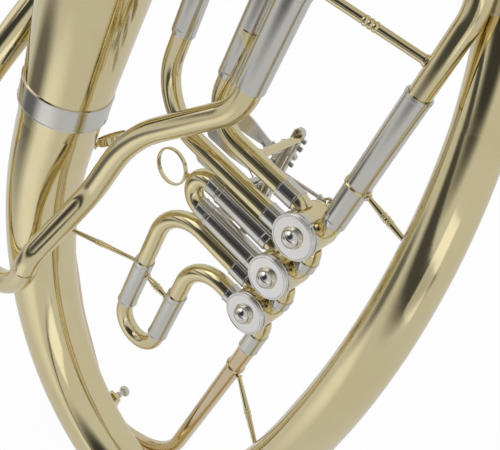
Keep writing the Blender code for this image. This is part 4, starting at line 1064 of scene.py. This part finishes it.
class HORN_OT_tuning_slide(bpy.types.Operator):
    """Make the main tuning slide with its turned grip, and the two sleeves that it enters"""
    bl_idname = "horn.tuning_slide"
    bl_label = "Main tuning slide and sleeves"

    def execute(self, context):
        rail = bent(port(3, 1, 1) + [(PORT_OFFSET, PORT_Y, TUNING_END)], (KNUCKLE,))
        shoulder = rail.reach(2, VALVE_PITCH + PORT_OFFSET + 6.0)
        piece("tuning_inlet_knuckle", knuckle(rail, 3, shoulder))
        piece("tuning_inlet_leg", sleeve_shape(rail, shoulder), "nickel")
        band = eased_band(rail.reach(2, INLET_RING_Z), 1.0, 0.4, SLEEVE - 0.2, INLET_RING - 0.5)
        piece("tuning_inlet_ring", swept(rail, band, 40, True, 0.2))
        low = Rail([(OUTLET_X, OUTLET_Y, OUTLET_Z), (OUTLET_X, OUTLET_Y, TUNING_END + 10.5)])
        lip = low.length
        profile = [(0, RETURN - 0.1), (0, RETURN + 0.8), (0.6, RETURN + 1.05),
                   (lip - 2.4, RETURN + 1.05), (lip - 2.2, RETURN + 1.35),
                   (lip - 0.2, RETURN + 1.35), (lip, RETURN + 1.0), (lip, RETURN + 0.2),
                   (lip - 12, RETURN + 0.2), (lip - 12, RETURN - 0.1)]
        piece("tuning_outlet_leg", swept(low, profile, 40, True, 0.12), "nickel")
        self.tie()
        left = Vector((OUTLET_X, OUTLET_Y, 0))
        right = Vector((PORT_OFFSET, PORT_Y, 0))
        outward = (right - left).normalized()
        foot = Vector((0, 0, TUNING_END - TUNING_FOOT))
        bow = slide_loop(right + foot, left + foot, UP, TUNING_BOW_Z - foot.z, 60, outward)
        growth = RETURN - SLIP - TUBE
        outer = tapering(bow, lambda share: TUBE + growth * min(1, max(0, (share - 0.3) / 0.4)),
                         0.0, bow.length)
        grip_z = Vector((0, 0, TUNING_GRIP_Z))
        start = right - outward * (TUBE - 0.5) + grip_z
        end = left + outward * (RETURN - 0.5) + grip_z
        length = (end - start).length
        middle = length / 2
        shank = [(0, 3.4), (1.0, 3.3), (2.4, GRIP), (middle - 4.6, GRIP)]
        bead = ((-1.4, 2.4), (-0.9, 2.8), (0.0, 2.95), (0.9, 2.8), (1.4, 2.4))
        beads = [(middle + step * BEAD_PITCH + shift, size)
                 for step in (-1, 0, 1) for shift, size in bead]
        grip = shank + beads + mirrored(shank, 0, length)[len(shank):]
        slide = together(open_ended(bow, outer, TUBE - WALL, RETURN - WALL, 40),
                         turned(grip, start, end - start, 40, 0.2))
        piece("main_tuning_slide", slide, "brass", "tuning_slide")
        return {"FINISHED"}

    def tie(self):
        """The small plate that ties the outlet's sleeve to the third slide's, with its flange."""
        start = Vector((OUTLET_X, OUTLET_Y))
        end = Vector((THIRD_INNER_X, PORT_Y))
        along = (end - start).normalized()
        first, last = start + along * (RETURN + 0.4), end - along * (SLEEVE - 0.2)
        side = Vector((-along.y, along.x)) * 1.4
        strip = plate([first + side, first - side, last - side, last + side], "Z", TIE_LOW,
                      TIE_HIGH)
        levels = ((107.0, 4.0), (109.0, 14.0), (112.0, 30.0), (115.2, 46.0), (TIE_HIGH, 47.0))
        flange = skin([[Vector((x, y, level))
                        for radius, order in ((SLEEVE + 0.7, 1), (SLEEVE - 0.1, -1))
                        for x, y in arc(end, radius, TIE_TURN - spread * order,
                                        TIE_TURN + spread * order, 20)]
                       for level, spread in levels], False)
        piece("tuning_outlet_tie", together(strip, flange))


class HORN_OT_levers(bpy.types.Operator):
    """Make the finger levers with their link rods, coil springs and hinge rod"""
    bl_idname = "horn.levers"
    bl_label = "Levers, rods and springs"

    def execute(self, context):
        for number in VALVES:
            z = lever_z(number)
            rod_z = z + 3.2 + 4.0 * (number - 2)
            self.lever(number, z, rod_z)
            self.link_rod(number, rod_z)
            self.spring(number, z)
        low = lever_z(0) + EAR_RISE - EAR_HALF - 1.5
        length = lever_z(3) + EAR_RISE + EAR_HALF + 1.5 - low
        profile = [(0, 3.3), (1.2, 3.3), (1.2, 2.4), (length, 2.4)]
        piece("lever_hinge_rod", turned(profile, (HINGE_X, HINGE_Y, low), UP, 40), "steel")
        return {"FINISHED"}

    def lever(self, number, z, rod_z):
        """A lever: its hub, touch plate and clamp, and the arm that carries the rod's pin."""
        hub = mirrored([(-HUB_HALF, 2.8), (-HUB_HALF, HUB), (1.0 - HUB_HALF, HUB),
                        (1.3 - HUB_HALF, HUB - 0.3)], -HUB_HALF, HUB_HALF)
        root = HINGE_X - 3.2
        wide = HINGE_X - LEVER_REACH * 0.72
        flank = [(root + (wide - root) * k / 8, ease(ROOT_HALF, WAIST_HALF, k / 8))
                 for k in range(8)]
        outline = ([(x, z + half) for x, half in flank]
                   + arc((HINGE_X - LEVER_REACH, z), TOUCH_RADIUS, 112, 248, 24)
                   + [(x, z - half) for x, half in reversed(flank)])
        clamp = [(HINGE_X - 3.0, z - 3.4), (HINGE_X - 3.0, z + 3.4), (HINGE_X - 9.0, z + 3.7),
                 (HINGE_X - 9.0, z - 3.7)]
        hinge = Vector((HINGE_X, HINGE_Y))
        down = Vector((-math.sin(LEVER_LEAN), -math.cos(LEVER_LEAN)))
        arm = bar_outline(hinge + down * 3.2, hinge + down * (LINK_ARM + 2.6), ARM_HALF)
        x, y = hinge + down * LINK_ARM
        shape = together(
            spun(hub, (HINGE_X, HINGE_Y, z), UP, 40, True),
            plate(outline, "Y", LEVER_FRONT, LEVER_FRONT + TOUCH_THICK, 0.6),
            plate(clamp, "Y", LEVER_FRONT + 1.4, LEVER_FRONT + 3.6, 0.4),
            plate(arm, "Z", rod_z - 4.8, rod_z - ARM_DROP, 0.4),
            rod((x, y, rod_z - 5.0), (x, y, rod_z - ARM_DROP), 2.6),
            turned([(rod_z - 2.4, 1.15), (rod_z + 2.2, 1.15)], (x, y, 0), UP, 24))
        piece(f"valve_lever_{number}", shape, "nickel", f"lever_{number}")
        head = slotted_head((HINGE_X - 6.0, LEVER_FRONT + 3.5, z), BACK, 1.7, 1.3)
        piece(f"lever_screw_{number}", head, "steel", f"lever_{number}")

    def link_rod(self, number, rod_z):
        """A threaded rod with its lock nut, and an eye at each end."""
        near = Vector((HINGE_X - LINK_ARM * math.sin(LEVER_LEAN), ROD_Y, rod_z))
        far = Vector((-CRANK_SIDE, ROD_Y, valve_z(number) + ROD_RISE))
        along = (far - near).normalized()
        reach = (far - near).length
        shank = [(2.4, 1.9), (6.0, 1.25), (reach - 12.4, 1.25)]
        for at in [reach - 12.4 + k * 0.6 for k in range(9)]:
            shank += [(at, 1.05), (at + 0.3, 1.3)]
        shank += [(reach - 6.6, 1.25), (reach - 3.6, 1.8)]
        shape = together(spun(wall(-1.4, 1.4, 1.35, 2.9), near, UP, 32, True, 0.4),
                         spun(wall(-1.05, 1.05, 2.6, 4.2), far, BACK, 40, True, 0.35),
                         turned(shank, near, along, 24, 0.1),
                         turned([(reach - 8.4, 2.3), (reach - 6.6, 2.3)], near, along, 6, 0.2))
        piece(f"link_rod_{number}", shape, "nickel", f"link_{number}")

    def spring(self, number, z):
        """A round wire that curls round the hinge rod, its ends under the plate and the bar."""
        high = z - HUB_HALF - 0.5 - SPRING_WIRE
        low = z - TOUCH_SPACING + EAR_RISE + EAR_HALF + 0.5 + SPRING_WIRE
        under = LEVER_FRONT - SPRING_WIRE - 0.3
        path = [Vector((HINGE_X - 15.0, under, z - 1.5)), Vector((HINGE_X - 7.5, under, z - 5.0))]
        coil = arc((HINGE_X, HINGE_Y), SPRING_RADIUS, 180, 1620, 128)
        path += [Vector((x, y, high + (low - high) * k / 128)) for k, (x, y) in enumerate(coil)]
        path.append(path[-1] + Vector((3.0, -5.0, 0)))
        path.append(Vector((SADDLE_X - 2.0, SADDLE_BACK + SPRING_WIRE + 0.3, low)))
        rail = Rail(path)
        shape = swept(rail, wall(0, rail.length, AXIS, SPRING_WIRE), 10, edge=0.1)
        piece(f"lever_spring_{number}", shape, "steel")


class HORN_OT_saddle(bpy.types.Operator):
    """Make the tray shaped bar that carries the levers, with its ears, posts and small screws"""
    bl_idname = "horn.saddle"
    bl_label = "Lever saddle"

    def execute(self, context):
        high, low = SADDLE_TOP - SADDLE_HALF, SADDLE_BOTTOM + SADDLE_HALF
        inner, floor = SADDLE_HALF - 1.2, SADDLE_BACK - 1.2
        levels = [(SADDLE_HALF - 0.3, SADDLE_FRONT), (SADDLE_HALF, SADDLE_FRONT + 0.3),
                  (SADDLE_HALF, SADDLE_BACK - 0.5), (SADDLE_HALF - 0.5, SADDLE_BACK),
                  (0.3, SADDLE_BACK), (0.3, floor), (inner - 0.5, floor), (inner, floor - 0.5),
                  (inner, SADDLE_FRONT + 0.3), (inner + 0.3, SADDLE_FRONT)]
        shapes = [skin([[Vector((x, y, z)) for x, z in arc((SADDLE_X, high), half, 0, 180, 20)
                         + arc((SADDLE_X, low), half, 180, 360, 20)] for half, y in levels], True)]
        right = SADDLE_X + SADDLE_HALF + 1.2
        ear = ([(SADDLE_X + 2.0, SADDLE_BACK - 0.4), (SADDLE_X - 3.0, SADDLE_BACK - 0.4)]
               + arc((HINGE_X, HINGE_Y), 4.5, -120, -300, 24)
               + [(HINGE_X + 4.0, HINGE_Y + 2.2), (right, SADDLE_BACK + 3.2),
                  (right, SADDLE_BACK + 0.5)])
        for z in [lever_z(number) + EAR_RISE for number in (0, *VALVES)]:
            shapes.append(plate(ear, "Z", z - EAR_HALF, z + EAR_HALF))
        piece("lever_saddle", together(*shapes), "nickel")
        for name, z, radius in (("upper", VALVE_PITCH + PORT_OFFSET, TUBE),
                                ("lower", -PORT_OFFSET, SLEEVE)):
            base = PORT_Y + radius - 0.3
            profile = [(base - 2.5, 4.2), (base + 0.8, 4.1), (base + 2.0, 3.2),
                       (base + 3.4, 2.8), (floor, 2.6)]
            piece("saddle_post_" + name, turned(profile, (POST_X, 0, z), BACK, 36))
        screws = [slotted_head((-51.6, HINGE_Y - 4.9, z), RIGHT, radius, 2.4)
                  for z, radius in ((47.0, 1.6), (40.5, 1.9), (26.0, 1.6))]
        piece("saddle_screws", together(*screws), "steel")
        return {"FINISHED"}


class HORN_OT_braces(bpy.types.Operator):
    """Turn the beaded brace rods between the valve tubes and the main bow"""
    bl_idname = "horn.braces"
    bl_label = "Braces"

    def execute(self, context):
        rows = (("upper_bow_brace", (PORT_OFFSET, PORT_Y, INLET_RING_Z), INLET_RING, 77.0, True),
                ("lower_bow_brace", (PORT_OFFSET, PORT_Y + 1.2, LEAD_RING_Z), LEAD_RING, -138.0,
                 True),
                ("stem_brace", (FIRST_OUTER_X, PORT_Y, -97.0), SLEEVE, -128.0, False))
        for name, leg, leg_radius, level, right in rows:
            leg = Vector(leg)
            target = min((point for point in right_route() if (point.x > 0) == right),
                         key=lambda point: abs(point.z - level))
            along = (target - leg).normalized()
            low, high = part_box(name)
            length = min((Vector(high) - Vector(low)).length / MM,
                         (target - leg).length - leg_radius - BRACE_CLEAR)
            start = leg + along * (leg_radius - BRACE_START)
            piece(name, beaded(start, start + along * length, 2.6, 1.55, 2.5))
        return {"FINISHED"}


class HORN_OT_lyre_box(bpy.types.Operator):
    """Make the square lyre socket on the leadpipe, and its thumb screw"""
    bl_idname = "horn.lyre_box"
    bl_label = "Lyre box and screw"

    def execute(self, context):
        rail = Rail(leadpipe_path())
        distance = rail.reach(0, LYRE_X)
        seat = rail.at(distance)[0]
        along = (rail.at(distance + 3)[0] - rail.at(distance - 3)[0]).normalized()
        half = LYRE_HALF
        high = seat.z + LYRE_TOP
        floor = seat.z + LYRE_FLOOR

        def loop(size, z):
            corner = min(1.0, size * 0.3)
            reach = size - corner
            return [Vector((a, b, z))
                    for sx, sy, start in ((1, 1, 0), (-1, 1, 90), (-1, -1, 180), (1, -1, 270))
                    for a, b in arc((LYRE_X + sx * reach, seat.y + sy * reach), corner, start,
                                    start + 90, 6)]

        walls = skin([loop(size, z) for size, z in (
            (half - 0.3, floor - 5.2), (half, floor - 4.9), (half, high - 0.3), (half - 0.3, high),
            (4.3, high), (4.0, high - 0.3), (4.0, floor), (0.4, floor), (0.4, floor - 1.6),
            (half - 1.0, floor - 1.6))], True)
        middle = (LYRE_X, seat.y, seat.z + LYRE_BOSS)
        boss = spun([(half - 0.5, 1.75), (half - 0.5, 3.6), (half + 2.5, 3.4), (half + 2.5, 1.75)],
                    middle, BACK, 36, True)
        feet = [spun(wall(-1.1, 1.1, 6.55, 8.2), seat + along * reach, along, 40, True, 0.3)
                for reach in (4.6, -4.6)]
        piece("lyre_box", together(walls, boss, *feet))
        profile = [(half + depth, radius) for depth, radius in (
            (-4.4, 1.4), (3.0, 1.5), (3.0, 3.2), (4.8, 3.2), (5.6, 2.1), (8.0, 2.2), (9.0, 4.6),
            (10.0, 5.2), (11.8, 5.4), (13.0, 5.0), (14.0, 4.0))]
        piece("lyre_screw", turned(profile, middle, BACK, 48, 0.3), "nickel", "lyre_screw")
        return {"FINISHED"}


class HORN_OT_thumb_ring(bpy.types.Operator):
    """Make the thumb ring on its foot, below the bell's ferrule"""
    bl_idname = "horn.thumb_ring"
    bl_label = "Thumb ring"

    def execute(self, context):
        centre = Vector(THUMB_CENTRE)
        along = Vector(THUMB_AXIS).normalized()
        band = spun(eased_band(0, 3.2, 2.8, 10.9, 12.2), centre, along, 80, True, 0.2)
        outward = (centre - Vector((STEM_X, 0, centre.z))).normalized()
        inward = (along * outward.dot(along) - outward).normalized()
        foot = turned([(0, 2.3), (2.6, 2.2), (4.6, 3.6)], centre + inward * 11.4, inward, 36)
        piece("thumb_ring", together(band, foot))
        return {"FINISHED"}


class HORN_OT_stage(bpy.types.Operator):
    """Set the pale floor, the light tent, two soft lamps and the camera"""
    bl_idname = "horn.stage"
    bl_label = "Floor, light and camera"

    def execute(self, context):
        studio = context.scene.horn_studio
        self.camera(studio)
        self.floor(studio)
        self.tent(studio)
        self.lamps(studio)
        context.scene.view_settings.view_transform = "Standard"
        return {"FINISHED"}

    def camera(self, studio):
        data = bpy.data.cameras.new("Photograph view")
        item = put("Photograph view", data)
        forward = Vector(CAMERA_FORWARD).normalized()
        right = forward.cross(Vector(CAMERA_UP)).normalized()
        turned_to = Matrix((right, right.cross(forward), -forward)).transposed().to_4x4()
        item.matrix_world = Matrix.Translation(CAMERA_PLACE) @ turned_to
        data.sensor_width = 36.0
        data.lens = studio.lens
        data.shift_x, data.shift_y = studio.shift
        data.clip_start = 0.01
        bpy.context.scene.camera = item

    def floor(self, studio):
        half = studio.floor_half
        level = FRAME_LOW[2] - FLOOR_GAP
        mesh = bpy.data.meshes.new("floor")
        mesh.from_pydata([(x * half, y * half, level)
                          for x, y in ((-1, -1), (1, -1), (1, 1), (-1, 1))], [], [(0, 1, 2, 3)])
        item = put("floor", mesh)
        material, bench, shader = blank("pale_floor")
        place = bench.node("ShaderNodeTexCoord", output="Object")
        grain = (bench.noise(place, 400.0, 3.0) - 0.4) * 0.3
        colour = bench.blend(grain, studio.floor_colour, (0.86, 0.86, 0.86))
        bench.fill(shader.inputs, {"Base Color": colour, "Roughness": 0.9})
        seen, mirror, through = (bench.rays(kind) for kind in ("Camera", "Glossy", "Transmission"))

        # Painted reflections: glossy rays see the floor with a painted bright patch, a painted
        # dark patch and a painted dark side towards -Y. The camera and diffuse light never see
        # these.
        def painted_reflection_patch(x, y, inner, outer):
            away = bench.vector("DISTANCE", place, (x, y, level))
            return ((outer - away) * (1.0 / (outer - inner))).clamped()

        # Painted dark reflection: the floor towards -Y is darkened only as the metal sees it
        far = ((bench.vector("DOT_PRODUCT", place, (0.0, -1.0, 0.0)) - 0.72) * 2.4).clamped()
        shown = (studio.floor_level + painted_reflection_patch(-0.14, -0.33, 0.08, 0.22) * 0.26
                 - painted_reflection_patch(-0.47, -0.34, 0.1, 0.26) * 0.5 - far * (studio.floor_level - FAR_FLOOR_PAINTED_REFLECTION))
        value = seen + mirror * shown + through * 0.8
        grey = bench.node("ShaderNodeCombineXYZ", None, {0: value, 1: value, 2: value})
        glow = bench.node("ShaderNodeEmission", None, {"Color": grey, "Strength": 1.0})
        share = seen * studio.background_share + mirror + through * 0.6
        both = bench.node("ShaderNodeMixShader", None, {
            0: share.at_most(1.0), 1: Flow(bench, shader.outputs[0]), 2: glow})
        bench.fill(bench.tree.nodes["Material Output"].inputs, {"Surface": both})
        mesh.materials.append(material)

    def tent(self, studio):
        """A pale tent with one soft dark opening; the camera itself sees plain white."""
        world = bpy.data.worlds.new("Light tent")
        bpy.context.scene.world = world
        world.use_nodes = True
        bench = Bench(world.node_tree)
        place = bench.node("ShaderNodeTexCoord", output="Generated")

        def patch(direction, inner, outer):
            inner, outer = math.cos(math.radians(inner)), math.cos(math.radians(outer))
            toward = bench.vector("DOT_PRODUCT", place, tuple(Vector(direction).normalized()))
            share = ((toward - outer) * (1.0 / (inner - outer))).clamped()
            return share * share * (3.0 - 2.0 * share)

        front = patch((-0.24, -0.80, 0.42), 22, 42)
        left_wall = patch((-0.85, -0.40, 0.30), 14, 44)
        level = studio.tent_level - front * (studio.tent_level - DARK_WALL) + left_wall * 0.25
        seen = bench.rays("Camera")
        value = level * (1 - seen) + seen
        colour = bench.node("ShaderNodeCombineXYZ", None, {0: value, 1: value, 2: value * 0.995})
        bench.fill(world.node_tree.nodes["Background"].inputs, {"Color": colour, "Strength": 1.0})

    def lamps(self, studio):
        for name, place, size, power in (("Key light", (-0.95, -0.75, 0.75), 0.9, studio.key),
                                         ("Fill light", (0.9, -0.8, -0.05), 0.7, studio.fill)):
            data = bpy.data.lights.new(name, "AREA")
            data.shape = "RECTANGLE"
            data.size = size
            data.size_y = size * 0.7
            data.energy = power
            item = put(name, data)
            item.location = place
            aim = Vector(LAMP_AIM) - Vector(place)
            item.rotation_euler = aim.to_track_quat("-Z", "Y").to_euler()


# What a user would change

def tint(name, description, default):
    return bpy.props.FloatVectorProperty(name=name, description=description, default=default,
                                         subtype="COLOR", size=3, min=0.0, max=1.0)


def factor(name, description, default):
    return bpy.props.FloatProperty(name=name, description=description, default=default,
                                   subtype="FACTOR", min=0.0, max=1.0)


def strength(name, description, default):
    return bpy.props.FloatProperty(name=name, description=description, default=default, min=0.0)


class HornFinish(bpy.types.PropertyGroup):
    """Colours and polish of the horn's metals."""
    brass: tint("Brass", "Lacquered yellow brass", (0.77, 0.675, 0.415))
    rose_brass: tint("Rose brass", "Lacquered rose brass of the leadpipe", (0.77, 0.63, 0.42))
    nickel: tint("Nickel silver", "Sleeves, collars, caps and levers", (0.68, 0.66, 0.62))
    steel: tint("Steel", "Springs, screws and the hinge rod", (0.50, 0.50, 0.50))
    polish: factor("Polish", "Roughness of the buffed metal", 0.10)
    haze: factor("Hand haze", "Added roughness where hands have been", 0.07)
    lacquer: factor("Lacquer", "Clear lacquer over the brass", 0.25)


class HornStudio(bpy.types.PropertyGroup):
    """Camera, floor and light levels."""
    lens: bpy.props.FloatProperty(
        name="Lens", description="Focal length of the photograph's view", default=51.85,
        min=10.0, unit="CAMERA")
    shift: bpy.props.FloatVectorProperty(
        name="Shift", description="Small shift that frames the photograph", size=2,
        default=(-0.004, -0.002))
    floor_half: bpy.props.FloatProperty(
        name="Floor", description="Half of the floor's width", default=3.0, min=0.5,
        unit="LENGTH", subtype="DISTANCE")
    floor_colour: tint("Floor colour", "Pale matt floor", (0.9, 0.9, 0.9))
    background_share: factor("White ground", "How far the floor is seen as plain white", 0.96)
    floor_level: strength("Floor level", "Brightness of the floor as the metal shows it", 0.66)
    tent_level: strength("Tent level", "Brightness of the tent's walls", 0.68)
    key: strength("Key light", "Power of the soft lamp on the left", 1.6)
    fill: strength("Fill light", "Power of the soft lamp on the right", 0.5)


STEPS = (HORN_OT_stage, HORN_OT_bell, HORN_OT_bows, HORN_OT_return_bow, HORN_OT_leadpipe,
         HORN_OT_valve_casings, HORN_OT_rotors, HORN_OT_valve_links, HORN_OT_slide_legs,
         HORN_OT_valve_slides, HORN_OT_tuning_slide, HORN_OT_levers, HORN_OT_saddle,
         HORN_OT_braces, HORN_OT_lyre_box, HORN_OT_thumb_ring)


class HORN_PT_making(bpy.types.Panel):
    """The horn's sizes, finishes and making steps"""
    bl_idname = "HORN_PT_making"
    bl_label = "Rotary valve horn"
    bl_space_type = "VIEW_3D"
    bl_region_type = "UI"
    bl_category = "Horn"

    def draw(self, context):
        for group in (context.scene.horn_finish, context.scene.horn_studio):
            box = self.layout.box()
            for name in group.bl_rna.properties.keys():
                if name not in ("rna_type", "name"):
                    box.prop(group, name)
        for step in STEPS:
            self.layout.operator(step.bl_idname)


CLASSES = (HornFinish, HornStudio, HORN_PT_making) + STEPS


def register():
    for each in CLASSES:
        bpy.utils.register_class(each)
    bpy.types.Scene.horn_finish = bpy.props.PointerProperty(type=HornFinish)
    bpy.types.Scene.horn_studio = bpy.props.PointerProperty(type=HornStudio)


def unregister():
    del bpy.types.Scene.horn_studio
    del bpy.types.Scene.horn_finish
    for each in reversed(CLASSES):
        bpy.utils.unregister_class(each)


def main():
    register()
    for step in STEPS:
        getattr(bpy.ops.horn, step.bl_idname.split(".")[1])()


if __name__ == "__main__":
    main()
